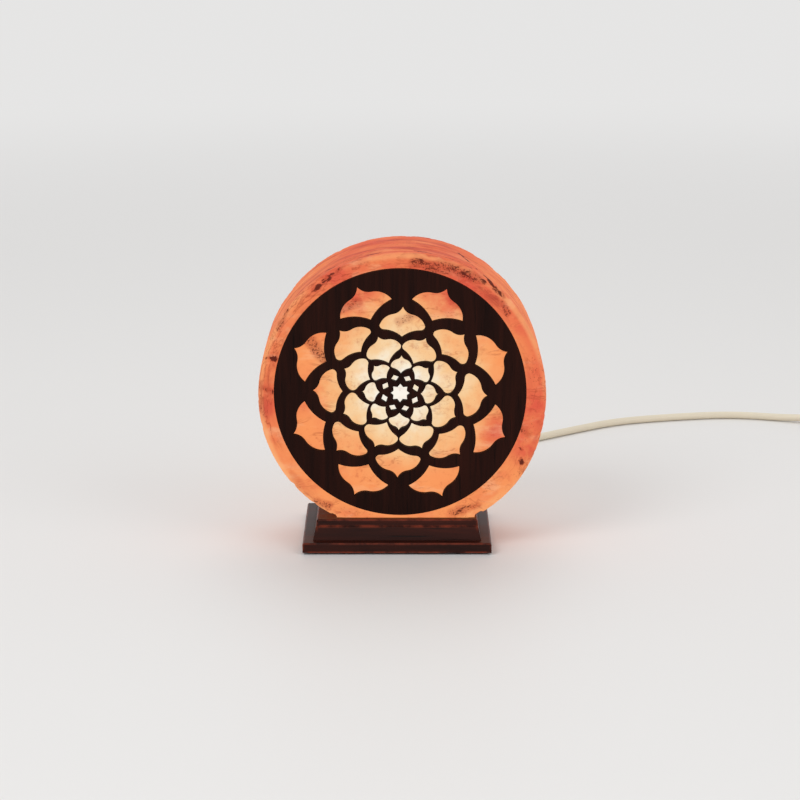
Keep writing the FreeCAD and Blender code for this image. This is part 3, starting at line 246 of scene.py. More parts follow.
def coilPoints():
    # the spiral winds in on the table, climbs one layer, and winds out on top of itself
    centre = Vector(lead["coilCentre"])
    count = int((lead["turnsIn"] + lead["turnsOut"]) * lead["pointsPerTurn"])
    points = []
    for index in range(1, count):
        turn = index / lead["pointsPerTurn"] - lead["turnsIn"]
        radius = lead["leastRadius"] + lead["pitch"] * abs(turn)
        angle = -2 * math.pi * (turn + lead["turnsIn"])
        share = min(max(turn / lead["climbTurns"] + 0.5, 0), 1)
        rise = lead["pitch"] * (1 - math.cos(math.pi * share)) / 2
        points.append(centre + Vector((radius * math.cos(angle), radius * math.sin(angle), rise)))
    return points


def makeLead():
    points = lead["toSwitch"] + lead["inSwitch"] + lead["toCoil"]
    points = [Vector(point) for point in points] + coilPoints()
    points += [Vector(point) for point in lead["toPlug"]]
    curve = bpy.data.curves.new("mainsLead", "CURVE")
    curve.dimensions = "3D"
    curve.bevel_depth = 1.0
    curve.bevel_resolution = 6
    curve.resolution_u = 8
    curve.use_fill_caps = True
    spline = curve.splines.new("NURBS")
    spline.points.add(len(points) - 1)
    for spot, point in zip(spline.points, points):
        spot.co = (point.x, point.y, point.z, 1)
        spot.radius = lead["diameter"] / 2
    spline.order_u = 3
    spline.use_endpoint_u = True
    return addPiece("mainsLead", curve)


mainsLead = makeLead()
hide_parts("cord_to_switch", "cord_from_switch", "cord_coil", "cord_to_plug")
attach(mainsLead, "lamp")
print("lead laid")

# salt disc: sawn faces, worn and chipped edges
salt = {
    "centre": (0.0, 0.0, .1115),
    "radius": .1004,
    "halfThickness": .0374,
    "flatHeight": .0231,
    "edgeRound": .0036,
    "flatRound": .0006,
    "roundEases": .012,  # over this length from a corner of the flat the edge comes to its full round
    "aroundArc": 520,
    "alongFlat": 90,
    "acrossWall": 26,
    "acrossEdge": 6,
    # rings on each face, by how far in from the edge they lie; the faces narrow a little to their middle
    "faceInsets": [.085, .073, .062, .052, .043, .035, .028, .022, .017, .013, .010, .0075, .0055, .004,
                   .0028, .0015],
    "faceNarrows": 0.95,
    "middleHollow": .0003,
    # where the sawn rim stands fuller or is cut back: degrees clockwise from the top, spread, height
    "bulges": [(36, 26, .0008), (134, 32, .0025), (-112, 22, .0003), (-153, 6, -.0014)],
    # wear: how deep, and the scales of the noise that spreads it
    "unevenDepth": .0004,
    "unevenScale": 42,
    "roughDepth": .00012,
    "roughScales": (260, 610),
    "roughShare": 0.6,
    "roughLift": 0.8,
    "chipDepth": .0016,
    "chipScales": (95, 330),
    "chipShare": 0.45,
    "chipsFrom": 0.22,
    "chipsOnFace": .0035,
    "chipsOnWall": .005,
    "flatWear": 0.1,
    "flatSinks": .0001,
    # single chips: place, reach and depth in metres
    "chips": [
        ((.020, -.0375, .2085), .0060, .0016), ((.030, -.0375, .2055), .0065, .0022),
        ((.040, -.0375, .2015), .0050, .0018), ((.052, -.0375, .1955), .0055, .0014),
        ((.062, -.0375, .1895), .0060, .0024), ((.071, -.0375, .1810), .0050, .0014),
        ((-.048, -.0375, .1985), .0060, .0020), ((-.055, -.0375, .1935), .0050, .0024),
        ((-.094, -.0375, .1360), .0045, .0014), ((.0525, -.0375, .0250), .0070, .0030),
        ((-.0450, -.0375, .0235), .0050, .0018), ((.066, .0375, .1850), .0070, .0022),
        ((-.080, .0375, .1700), .0080, .0026), ((.090, .0375, .0700), .0060, .0020),
    ],
    "chipJagged": 0.35,
    "chipJaggedScale": 420,
    "chipHollow": 0.6,
    # the bore for the bulb and the holes for the two plugs
    "boreRadius": .023,
    "boreTop": .145,
    "boreDome": .009,
    "domeSteps": 7,
    "plugHoleRadius": .004,
    "plugHoleTop": .058,
    "plugHoleTip": .001,
    "plugHoleSpread": .034,
    "drillStartsBelow": .004,
}


def fullness(angle):
    # how far the rim stands out at an angle, in degrees clockwise from the top
    return sum(height * math.exp(-((angle - at) / spread) ** 2) for at, spread, height in salt["bulges"])


def saltOutline():
    # points round the sawn disc, seen from the front, and how much each edge is rounded
    centre = Vector((salt["centre"][0], salt["centre"][2]))
    drop = centre.y - salt["flatHeight"]
    corner = math.acos(drop / salt["radius"])
    points = []
    sweep = 2 * math.pi - 2 * corner
    for index in range(salt["aroundArc"] + 1):
        share = index / salt["aroundArc"]
        angle = -math.pi / 2 + corner + sweep * share
        fromCorner = min(share, 1 - share) * sweep * salt["radius"]
        ease = min(fromCorner / salt["roundEases"], 1)
        ease = ease * ease * (3 - 2 * ease)
        clockwise = 90 - math.degrees(angle)
        if clockwise < -180:
            clockwise += 360
        radius = salt["radius"] + fullness(clockwise)
        points.append((centre.x + radius * math.cos(angle),
                       max(centre.y + radius * math.sin(angle), salt["flatHeight"]),
                       salt["flatRound"] + (salt["edgeRound"] - salt["flatRound"]) * ease))
    left = points[-1][0]
    right = points[0][0]
    for index in range(1, salt["alongFlat"]):
        across = left + (right - left) * index / salt["alongFlat"]
        points.append((across, salt["flatHeight"], salt["flatRound"]))
    return points


def saltSection():
    # steps across the disc, from the front centre over the edge to the back centre:
    # how far in from the rim, in metres or in edge rounds, and how far towards the back
    steps = [("face", inset, -1.0) for inset in salt["faceInsets"]]
    turns = [math.pi / 2 * index / salt["acrossEdge"] for index in range(salt["acrossEdge"] + 1)]
    steps += [("edge", 1 - math.sin(angle), -math.cos(angle)) for angle in turns]
    walls = salt["acrossWall"]
    steps += [("wall", 0.0, -1 + 2 * index / walls) for index in range(1, walls)]
    steps += [("edge", 1 - math.sin(angle), math.cos(angle)) for angle in reversed(turns)]
    steps += [("face", inset, 1.0) for inset in reversed(salt["faceInsets"])]
    return steps


def twoNoises(point, scales, share):
    # a coarse noise with some of a finer one on it
    return noise.noise(point * scales[0]) + share * noise.noise(point * scales[1])


def wearAt(point, nearEdge):
    # how deep the surface is worn at a point, in metres
    depth = salt["unevenDepth"] * (0.5 + 0.5 * noise.noise(point * salt["unevenScale"]))
    rough = twoNoises(point, salt["roughScales"], salt["roughShare"])
    depth += salt["roughDepth"] * (salt["roughLift"] + rough)
    chipping = twoNoises(point, salt["chipScales"], salt["chipShare"])
    depth += nearEdge * salt["chipDepth"] * max(0, chipping - salt["chipsFrom"])
    for place, reach, deepest in salt["chips"]:
        away = (point - Vector(place)).length
        if away < 1.6 * reach:  # beyond it the jagged edge of the chip can't reach
            jagged = away + reach * salt["chipJagged"] * noise.noise(point * salt["chipJaggedScale"])
            depth += deepest * max(0, 1 - jagged / reach) ** salt["chipHollow"]
    return depth


def nearness(distance, reach):
    # 1 at no distance, falling off smoothly with the reach
    return math.exp(-(distance / reach) ** 2)


def saltSpot(rim, edgeRound, step, centre):
    # one point of the disc: where it lies, which way it is worn in, and how near an edge it is
    kind, inset, toBack = step
    half = salt["halfThickness"]
    outward = (rim - centre).normalized()
    if kind == "face":
        inwards = edgeRound + inset * (rim - centre).length / salt["radius"] * salt["faceNarrows"]
        y = toBack * half
        direction = Vector((0, toBack, 0))
        nearEdge = nearness(inset, salt["chipsOnFace"])
    elif kind == "edge":
        inwards = inset * edgeRound
        side = -1 if toBack < 0 else 1
        y = side * (half - edgeRound) + toBack * edgeRound
        direction = (outward * (1 - inset) + Vector((0, toBack, 0))).normalized()
        nearEdge = 1.0
    else:
        inwards = 0.0
        y = toBack * (half - edgeRound)
        direction = outward
        nearEdge = nearness(half - abs(y), salt["chipsOnWall"])
    point = rim - outward * inwards
    point.y = y
    wear = wearAt(point, nearEdge)
    if rim.z < salt["flatHeight"] + 1e-6 and kind != "face":
        wear *= salt["flatWear"]
    spot = point - direction * wear
    spot.z = max(spot.z, salt["flatHeight"] - salt["flatSinks"])
    return spot


def makeSalt():
    centre = Vector(salt["centre"])
    section = saltSection()
    mesh = bmesh.new()
    rows = []
    for x, z, edgeRound in saltOutline():
        rim = Vector((x, 0, z))
        rows.append([mesh.verts.new(saltSpot(rim, edgeRound, step, centre)) for step in section])
    pairs = list(zip(rows, rows[1:] + rows[:1]))
    for here, there in pairs:
        for step in range(len(section) - 1):
            mesh.faces.new((here[step], there[step], there[step + 1], here[step + 1]))
    for side, step in ((-1, 0), (1, -1)):
        depth = side * (salt["halfThickness"] - salt["middleHollow"])
        middle = mesh.verts.new((centre.x, depth, centre.z))
        for here, there in pairs:
            corners = (here[step], there[step]) if side > 0 else (there[step], here[step])
            mesh.faces.new((middle,) + corners)
    bmesh.ops.recalc_face_normals(mesh, faces=mesh.faces)
    piece = addPiece("saltDisc", bpy.data.meshes.new("saltDisc"), mesh)
    for face in piece.data.polygons:
        face.use_smooth = True
    return piece


def lathe(name, corners, around=64, place=(0, 0)):
    # a closed turned shape from (radius, height) corners, used here to drill the salt
    mesh = bmesh.new()
    rings = []
    for radius, height in corners:
        turns = [2 * math.pi * index / around for index in range(around if radius > 1e-6 else 1)]
        rings.append([mesh.verts.new((place[0] + radius * math.cos(angle),
                                      place[1] + radius * math.sin(angle), height)) for angle in turns])
    for low, high in zip(rings, rings[1:]):
        for index in range(around):
            after = (index + 1) % around
            if len(low) == 1:
                mesh.faces.new((low[0], high[index], high[after]))
            elif len(high) == 1:
                mesh.faces.new((low[index], low[after], high[0]))
            else:
                mesh.faces.new((low[index], low[after], high[after], high[index]))
    bmesh.ops.recalc_face_normals(mesh, faces=mesh.faces)
    return addPiece(name, bpy.data.meshes.new(name), mesh)


def drillSalt(piece):
    below = salt["flatHeight"] - salt["drillStartsBelow"]
    dome = salt["boreDome"]
    shoulder = salt["boreTop"] - dome
    bore = [(0, below), (salt["boreRadius"], below), (salt["boreRadius"], shoulder)]
    for index in range(1, salt["domeSteps"]):
        angle = math.pi / 2 * index / salt["domeSteps"]
        bore.append((salt["boreRadius"] * math.cos(angle), shoulder + dome * math.sin(angle)))
    bore.append((0, salt["boreTop"]))
    drills = [lathe("boreDrill", bore)]
    hole = [(0, below), (salt["plugHoleRadius"], below), (salt["plugHoleRadius"], salt["plugHoleTop"]),
            (0, salt["plugHoleTop"] + salt["plugHoleTip"])]
    for side in (-1, 1):
        drills.append(lathe("plugDrill", hole, 24, (side * salt["plugHoleSpread"], 0)))
    for drill in drills:
        cut = piece.modifiers.new("drilled", "BOOLEAN")
        cut.operation = "DIFFERENCE"
        cut.solver = "EXACT"
        cut.object = drill
    bpy.context.view_layer.update()
    shaped = bpy.data.meshes.new_from_object(piece.evaluated_get(bpy.context.evaluated_depsgraph_get()))
    piece.modifiers.clear()
    piece.data = shaped
    for drill in drills:
        bpy.data.objects.remove(drill)


saltDisc = makeSalt()
drillSalt(saltDisc)
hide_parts("salt_block")
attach(saltDisc, "lamp")
print("salt cut:", len(saltDisc.data.polygons), "faces")

glow = {
    "bulbAt": (-.001, .004, .1185),
    "reach": .16,
    # how the light falls off, by share of the reach from the bulb
    "falloff": [(.245, screenColor(255, 250, 238)), (.268, screenColor(253, 240, 214)),
                (.300, screenColor(251, 226, 188)), (.340, screenColor(250, 212, 162)),
                (.390, screenColor(250, 196, 138)), (.440, screenColor(250, 176, 116)),
                (.500, screenColor(248, 148, 96)), (.570, screenColor(240, 126, 82)),
                (.650, screenColor(235, 116, 77)), (.760, screenColor(226, 102, 66))],
    # how far cloudy salt bends that fall, in metres
    "cloudBend": 0.050,
    "puffBend": 0.022,
    "saltBase": screenColor(56, 22, 15),
    "pink": screenColor(222, 84, 66),
    "amber": screenColor(253, 160, 96),
    "milk": screenColor(255, 206, 160),
    "wallAmber": screenColor(242, 146, 80),
    "wallRed": screenColor(214, 84, 54),
    "darkMineral": screenColor(58, 14, 8),
    "dusk": screenColor(176, 66, 52),
    "thinEdge": screenColor(255, 190, 128),
    "veinTone": screenColor(142, 50, 28),
    "mottleTone": screenColor(170, 58, 38),
    "strength": 0.95,
    "specular": 0.10,
    "roughness": (0.50, 0.78),
    "bump": (0.35, .0006),
    "grainHeight": 0.5,
    "sawHeight": 0.6,
    "rimSqueeze": 0.024,  # marks on the rim are drawn out along it
    "veinWidth": 0.026,
    "rimVeinWidth": 0.030,
    "streakShift": 0.006,  # how far noise pushes the dark streaks about
    "streakShiftNoise": {"Scale": 140, "Detail": 4.0},
    # how each noise is stretched and turned before it is laid on
    "pinkLie": ((1.0, 1.0, 1.7), (0.0, 0.7, 0.0)),
    "milkLie": ((0.5, 1.0, 1.3), (0, 0, 0)),
    "veinLie": ((0.45, 1.0, 1.5), (0, 0.15, 0)),
    "sawLie": ((1, 1, 9), (0, 0, 0)),
    # noise fields: scale, detail, roughness, distortion
    "noise": {
        "cloud": (24, 5, 0.55, 0.3),
        "puff": (85, 5, 0.6, 0.2),
        "amber": (22, 4, 0.5, 0.2),
        "pink": (34, 6, 0.6, 0.3),
        "bands": (110, 6, 0.62, 0.4),
        "milk": (70, 6, 0.6, 0.3),
        "mottle": (210, 6, 0.7, 0.2),
        "broadMottle": (48, 4),
        "dusk": (88, 6, 0.62, 0.3),
        "arris": (60, 4),
        "veins": (60, 5, 0.6, 0.7),
        "veinPatch": (30, 3),
        "rimVeins": (120, 7, 0.64, 0.5),
        "rimPatch": (42, 3),
        "scatter": (40, 4),
        "fineSpeck": (760, 5, 0.72, 0.1),
        "broadSpeck": (330, 7, 0.72, 0.3),
        "roughness": (60, 4),
        "grain": (420, 4, 0.6),
        "saw": (60, 3),
    },
    # where each noise, distance or height fades in: nothing at the first value, all at the second
    "fades": {
        "outer": (0.055, 0.085),
        "aboveFoot": (.035, .130),
        "amber": (0.46, 0.66),
        "puff": (0.34, 0.60),
        "pink": (0.50, 0.66),
        "pinkHeight": (0.13, 0.19),
        "sideways": (0.03, 0.09),
        "bands": (0.40, 0.62),
        "face": (0.028, 0.0365),
        "milk": (0.52, 0.72),
        "mottle": (0.50, 0.72),
        "broadMottle": (0.40, 0.62),
        "rim": (0.086, 0.094),
        "duskHeight": (0.06, 0.17),
        "dusk": (0.50, 0.66),
        "arrisOut": (0.0955, 0.0985),
        "arrisDepth": (0.0325, 0.0360),
        "arris": (0.34, 0.62),
        "veinPatch": (0.46, 0.60),
        "veinDistance": (0.030, 0.062),
        "rimPatch": (0.48, 0.62),
        "scatter": (0.42, 0.62),
        "streakStainAndShade": (0.15, 0.9),
        "fineSpeck": (-0.02, 0.05),
        "broadSpeck": (-0.02, 0.06),
    },
    # how strongly each tone is laid on; a pair is where its measure is 0 and where it is 1
    "shares": {
        "foot": 0.85,
        "amber": 0.40,
        "amberPlaces": 0.80,
        "pinkPlaces": (0.40, 1.00),
        "pink": (0.30, 0.70),
        "allPink": 0.85,
        "sideAmber": 0.60,
        "bandAmber": 0.45,
        "wall": 0.72,
        "milk": (0.32, 0.10),
        "mottle": (0.12, 0.42),
        "dusk": (0.25, 0.70),
        "arris": 0.48,
        "veins": (0.33, 0.18),
        "veinsByDistance": (0.35, 1.00),
        "rimVeins": 0.50,
        "scatter": (0.34, 0.54),
        "streakStainAndShade": 0.46,
        "fineSpeck": 0.80,
        "broadSpeck": 0.90,
    },
    # the noise value above which specks start: where there is no dark mineral, and where it is thick
    "speckStarts": {"fineSpeck": (0.74, 0.50), "broadSpeck": (0.80, 0.51)},
    # where the salt is pinker: place, reach
    "pinkPlaces": [((.044, -.038, .1860), .034), ((-.052, -.038, .2000), .036),
                   ((.094, -.038, .1000), .030), ((-.098, -.038, .1080), .022),
                   ((-.034, -.038, .1830), .024), ((.034, -.038, .1830), .027),
                   ((-.030, .010, .2080), .040), ((.088, -.038, .0760), .022),
                   ((.066, -.038, .0860), .018)],
    # where it is amber all over: place, reach
    "amberPlaces": [((-.066, -.038, .1420), .034), ((-.066, -.038, .0860), .032),
                    ((.070, -.038, .1400), .026)],
    # dark mineral, and painted shade in the chips and along the upper arris, lie in streaks: where each
    # starts and ends, how wide, how thick it is
    "mineralAndShadeStreaks": [((.008, -.038, .2060), (.030, -.038, .2030), .0046, 1.0),
                    ((.030, -.038, .2030), (.052, -.038, .1945), .0050, 1.0),
                    ((.016, -.038, .2010), (.034, -.038, .1980), .0030, 0.8),
                    ((.050, -.037, .1985), (.071, -.037, .1815), .0024, 1.1),
                    ((.055, -.0375, .1960), (.0685, -.0375, .1840), .0021, 1.7),
                    ((.0570, -.0290, .1939), (.0655, -.0368, .1873), .0016, 1.8),
                    ((.0400, .0080, .2034), (.0515, -.0215, .1975), .0011, 1.6),
                    ((.036, -.0375, .2035), (.050, -.0375, .1975), .0013, 1.5),
                    ((.010, -.025, .2110), (.046, -.030, .2000), .0026, 1.1),
                    ((-.052, -.022, .1970), (-.016, -.027, .2100), .0022, 1.0),
                    ((.069, -.038, .1780), (.073, -.038, .1700), .0026, 0.9),
                    ((-.060, -.038, .1870), (-.046, -.038, .2010), .0030, 0.9),
                    ((-.0585, -.0375, .1880), (-.0450, -.0350, .2005), .0021, 1.8),
                    ((-.064, -.038, .1500), (-.054, -.038, .1390), .0055, 0.9),
                    ((-.0985, -.038, .1220), (-.0980, -.038, .0950), .0022, 0.85),
                    ((-.0932, -.0375, .1384), (-.0885, -.0375, .1372), .0022, 1.7),
                    ((-.0800, -.036, .1715), (-.0860, -.0375, .1590), .0028, 0.85),
                    ((-.0975, -.038, .1172), (-.0905, -.038, .1140), .0026, 0.85),
                    ((-.060, -.038, .0345), (-.052, -.038, .0320), .0040, 0.9),
                    ((.036, -.038, .0270), (.053, -.038, .0310), .0044, 0.74),
                    ((-.073, -.038, .0450), (-.060, -.038, .0345), .0017, 0.85),
                    ((.083, -.038, .0745), (.084, -.038, .0730), .0017, 1.1),
                    ((.083, -.038, .0650), (.084, -.038, .0630), .0017, 1.1),
                    ((.084, -.038, .0880), (.088, -.038, .0840), .0040, 0.8),
                    ((-.002, -.038, .1640), (.009, -.038, .1690), .0045, 0.65),
                    ((.036, -.038, .1800), (.056, -.038, .1690), .0050, 0.80),
                    ((-.044, -.038, .1720), (-.030, -.038, .1780), .0040, 0.72),
                    ((-.060, .034, .1900), (-.030, .038, .2060), .0040, 0.7),
                    ((.058, .038, .0440), (.088, .030, .0760), .0030, 0.7)],
}


def saltNoise(tree, coords, name):
    return noiseOf(tree, coords, *glow["noise"][name])


def saltFade(tree, value, name):
    return fade(tree, value, *glow["fades"][name])


def saltPatch(tree, coords, name):
    # a noise field, faded in between the limits of the same name
    return saltFade(tree, saltNoise(tree, coords, name), name)


def saltShare(tree, amount, name):
    # a single share multiplies the amount, a pair turns it into a value from first to second
    share = glow["shares"][name]
    return between(tree, amount, *share) if isinstance(share, tuple) else times(tree, amount, share)


def nearAny(tree, coords, places):
    near = 0.0
    for place, reach in places:
        spot = minus(tree, 1.0, fade(tree, distanceTo(tree, coords, place), 0.1 * reach, reach))
        near = larger(tree, near, spot)
    return near


def streak(tree, coords, start, end, width):
    # 1 on the line from start to end, 0 beyond its width
    run = Vector(end) - Vector(start)
    fromStart = vectors(tree, "SUBTRACT", coords, start)
    share = maths(tree, "DIVIDE", vectors(tree, "DOT_PRODUCT", fromStart, tuple(run), "Value"),
                  run.length_squared, clamp=True)
    away = vectors(tree, "DISTANCE", fromStart, scaled(tree, tuple(run), share), "Value")
    return minus(tree, 1.0, fade(tree, away, 0.25 * width, 1.6 * width))


def ringCoords(tree, x, y, z):
    # distance from the disc's axis, and coordinates in which marks run round the rim
    height = minus(tree, z, salt["centre"][2])
    out = maths(tree, "SQRT", plus(tree, times(tree, x, x), times(tree, height, height)))
    along = times(tree, maths(tree, "ARCTAN2", x, height), glow["rimSqueeze"])
    return out, addNode(tree, "CombineXYZ", {0: out, 1: y, 2: along}).outputs[0]


def thinLines(tree, field, width):
    # 1 where a noise field crosses its middle, 0 a little to each side
    fromMiddle = absolute(tree, minus(tree, field, 0.5))
    return minus(tree, 1.0, fade(tree, fromMiddle, 0.1 * width, width))


def fallOfLight(tree, spot):
    # cloudy salt bends the fall of the light
    cloud = times(tree, minus(tree, saltNoise(tree, spot["coords"], "cloud"), 0.5), glow["cloudBend"])
    puff = times(tree, minus(tree, spot["puff"], 0.5), glow["puffBend"])
    away = plus(tree, spot["away"], plus(tree, cloud, puff))
    return rampOf(tree, maths(tree, "DIVIDE", away, glow["reach"]), glow["falloff"])


def layAmberAndPink(tree, light, spot):
    # yellower towards the foot and in some places, pinker in other places towards the top
    coords = spot["coords"]
    foot = minus(tree, 1.0, saltFade(tree, spot["z"], "aboveFoot"))
    amberHere = nearAny(tree, coords, glow["amberPlaces"])
    amber = larger(tree, saltShare(tree, foot, "foot"),
                   saltShare(tree, saltPatch(tree, coords, "amber"), "amber"))
    amber = larger(tree, amber, saltShare(tree, amberHere, "amberPlaces"))
    light = mixColors(tree, times(tree, amber, spot["outer"]), light, glow["amber"])
    pinkHere = nearAny(tree, coords, glow["pinkPlaces"])
    pinkHere = times(tree, pinkHere, saltShare(tree, saltFade(tree, spot["puff"], "puff"), "pinkPlaces"))
    pinkShare = saltShare(tree, saltFade(tree, spot["z"], "pinkHeight"), "pink")
    pinkShare = times(tree, pinkShare, minus(tree, 1.0, amberHere))
    pinkField = saltPatch(tree, stretched(tree, coords, *glow["pinkLie"]), "pink")
    pink = larger(tree, times(tree, pinkField, pinkShare), pinkHere)
    pink = times(tree, pink, saltShare(tree, spot["outer"], "allPink"))
    return mixColors(tree, pink, light, glow["pink"])


def toneWall(tree, light, spot):
    # the sawn wall: redder above, more amber at the sides, with bands that run round it
    sideways = saltShare(tree, saltFade(tree, absolute(tree, spot["x"]), "sideways"), "sideAmber")
    bands = saltShare(tree, saltPatch(tree, spot["around"], "bands"), "bandAmber")
    tone = mixColors(tree, plus(tree, sideways, bands), glow["wallRed"], glow["wallAmber"])
    return mixColors(tree, saltShare(tree, spot["onWall"], "wall"), light, tone)


def layMottle(tree, light, spot):
    # soft lighter and darker mottling, less milky on the wall
    coords = spot["coords"]
    milk = saltPatch(tree, stretched(tree, coords, *glow["milkLie"]), "milk")
    milk = times(tree, milk, saltShare(tree, spot["onWall"], "milk"))
    light = mixColors(tree, milk, light, glow["milk"])
    broad = saltShare(tree, saltPatch(tree, coords, "broadMottle"), "mottle")
    mottle = times(tree, saltPatch(tree, coords, "mottle"), broad)
    return mixColors(tree, mottle, light, glow["mottleTone"])


def shadeRim(tree, light, spot):
    # duskier red-brown patches that follow the rim, mostly in its upper half
    upper = saltShare(tree, saltFade(tree, spot["z"], "duskHeight"), "dusk")
    dusk = times(tree, saltPatch(tree, spot["around"], "dusk"), upper)
    light = mixColors(tree, times(tree, dusk, spot["onRim"]), light, glow["dusk"])
    # the thin arris lets more light through
    arris = times(tree, saltFade(tree, spot["out"], "arrisOut"),
                  saltFade(tree, absolute(tree, spot["y"]), "arrisDepth"))
    arris = times(tree, arris, saltPatch(tree, spot["around"], "arris"))
    return mixColors(tree, saltShare(tree, arris, "arris"), light, glow["thinEdge"])


def layVeins(tree, light, spot):
    # hair-fine brown veins, some nearly level across the faces, some running round the rim
    coords = spot["coords"]
    level = saltNoise(tree, stretched(tree, coords, *glow["veinLie"]), "veins")
    patch = times(tree, saltPatch(tree, coords, "veinPatch"), saltShare(tree, spot["onWall"], "veins"))
    farEnough = saltShare(tree, saltFade(tree, spot["away"], "veinDistance"), "veinsByDistance")
    vein = times(tree, times(tree, thinLines(tree, level, glow["veinWidth"]), patch), farEnough)
    light = mixColors(tree, vein, light, glow["veinTone"])
    patch = times(tree, spot["onRim"], saltPatch(tree, spot["around"], "rimPatch"))
    vein = thinLines(tree, saltNoise(tree, spot["around"], "rimVeins"), glow["rimVeinWidth"])
    vein = saltShare(tree, times(tree, vein, patch), "rimVeins")
    return mixColors(tree, vein, light, glow["veinTone"])


def streakThickness(tree, coords):
    # noise pushes the streaks about a little, so that none of them is straight
    push = addNode(tree, "TexNoise", {"Vector": coords, **glow["streakShiftNoise"]}).outputs["Color"]
    pushed = vectors(tree, "ADD", coords, scaled(tree, push, glow["streakShift"]))
    shifted = vectors(tree, "SUBTRACT", pushed, (glow["streakShift"] / 2,) * 3)
    thick = 0.0
    for start, end, width, weight in glow["mineralAndShadeStreaks"]:
        thick = larger(tree, thick, times(tree, streak(tree, shifted, start, end, width), weight))
    return thick


def specksOf(tree, thick, spot):
    # dark mineral: thick in the listed streaks, thin elsewhere
    scatter = saltPatch(tree, spot["coords"], "scatter")
    scatter = times(tree, scatter, saltShare(tree, spot["onRim"], "scatter"))
    amount = larger(tree, thick, scatter)
    specks = []
    for name, coords in (("fineSpeck", spot["coords"]), ("broadSpeck", spot["around"])):
        starts = between(tree, amount, *glow["speckStarts"][name])
        over = minus(tree, saltNoise(tree, coords, name), starts)
        specks.append(saltShare(tree, saltFade(tree, over, name), name))
    return larger(tree, *specks)


def makeSaltFinish():
    material, tree, shader = startMaterial("litRockSalt")
    coords = objectCoords(tree)
    x, y, z = splitUp(tree, coords)
    out, around = ringCoords(tree, x, y, z)
    away = distanceTo(tree, coords, glow["bulbAt"])
    # what the layers below share about the spot they colour
    spot = {
        "coords": coords, "x": x, "y": y, "z": z, "out": out, "around": around, "away": away,
        "outer": saltFade(tree, away, "outer"),
        "puff": saltNoise(tree, coords, "puff"),
        "onRim": saltFade(tree, out, "rim"),
        "onWall": minus(tree, 1.0, saltFade(tree, absolute(tree, y), "face")),
    }
    light = fallOfLight(tree, spot)
    for layer in (layAmberAndPink, toneWall, layMottle, shadeRim, layVeins):
        light = layer(tree, light, spot)
    thick = streakThickness(tree, coords)
    # the streaks dim the glow: partly dark mineral, partly painted shade in the chips and along the
    # upper arris
    stainAndShade = saltShare(tree, saltFade(tree, thick, "streakStainAndShade"), "streakStainAndShade")
    light = mixColors(tree, stainAndShade, light, glow["mottleTone"])
    specks = specksOf(tree, thick, spot)
    grain = times(tree, saltNoise(tree, coords, "grain"), glow["grainHeight"])
    saw = saltNoise(tree, stretched(tree, coords, *glow["sawLie"]), "saw")
    relief = plus(tree, grain, times(tree, saw, glow["sawHeight"]))
    setSockets(tree, shader, {
        "Base Color": mixColors(tree, specks, glow["saltBase"], glow["darkMineral"]),
        "Emission Color": mixColors(tree, specks, light, glow["darkMineral"]),
        "Emission Strength": glow["strength"],
        "Specular IOR Level": glow["specular"],
        "Roughness": rangeOf(tree, saltNoise(tree, coords, "roughness"), *glow["roughness"]),
        "Normal": bumpOf(tree, relief, *glow["bump"]),
    })
    return material


saltDisc.data.materials.clear()
saltDisc.data.materials.append(makeSaltFinish())
print("salt lit")

# wood: a dark stained board for the panel, redder lacquered boards for the base
panelWood = {
    "dark": screenColor(17, 6, 4),
    "light": screenColor(46, 18, 11),
    "pore": screenColor(8, 3, 2),
    "grain": (1.0, 1.0, 0.07),
    "turn": (0, math.radians(-11), 0),
    "scale": 150,
    "rough": (0.55, 0.72),
    "specular": 0.07,
    "charred": screenColor(26, 12, 8),  # the laser leaves the cut edges brown-black
    "charredFrom": (0.5, 0.9),
    "charredShare": 0.8,
    "wearAndHighlightPieces": (),
}
baseWood = {
    "dark": screenColor(26, 8, 5),
    "light": screenColor(72, 26, 15),
    "pore": screenColor(12, 4, 3),
    "grain": (0.05, 1.0, 1.0),
    "turn": (0, 0, 0),
    "scale": 130,
    "rough": (0.32, 0.46),
    "specular": 0.16,
    # the edges of the slab and top plate are painted lighter red-brown: partly wear, partly a painted
    # highlight
    "wearAndHighlightPieces": ("base_slab", "base_top_plate"),
    "wearAndHighlightTone": screenColor(128, 52, 32),
    "wearAndHighlightWidth": .0016,
    "wearAndHighlightNoise": (130, 5, 0.65),
    "wearAndHighlightFrom": (0.36, 0.62),
}
# how any of these boards is figured: noise settings, and how much each counts
figuring = {
    "fine": (6, 0.6, 1.0),
    "fineShare": 0.6,
    "broadSize": 0.22,
    "broad": (4, 0.5, 1.4),
    "broadShare": 0.4,
    "toneStops": (0.32, 0.50, 0.66),
    "middleTone": 0.45,
    "poreSize": 4.5,
    "poreLength": 0.6,
    "pores": (3, 0.5),
    "poresFrom": (0.60, 0.70),
    "poreShare": 0.75,
    "figureHeight": 0.5,
    "poreHeight": 0.8,
    "bump": (0.30, .0003),
}


def wearAndHighlightEdges(tree, coords, piece):
    # 1 along the edges of a board, broken up by noise, where the edges are lighter red-brown: partly
    # wear, partly a painted highlight
    low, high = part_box(piece)
    closeness = []
    for axis, part in enumerate(splitUp(tree, coords)):
        middle = (low[axis] + high[axis]) / 2
        half = (high[axis] - low[axis]) / 2
        fromEdge = absolute(tree, minus(tree, half, absolute(tree, minus(tree, part, middle))))
        closeness.append(minus(tree, 1.0, fade(tree, fromEdge, 0.0, baseWood["wearAndHighlightWidth"])))
    edge = 0.0
    for index in range(3):
        edge = larger(tree, edge, times(tree, closeness[index], closeness[(index + 1) % 3]))
    wornAndLit = fade(tree, noiseOf(tree, coords, *baseWood["wearAndHighlightNoise"]), *baseWood["wearAndHighlightFrom"])
    return times(tree, edge, wornAndLit)


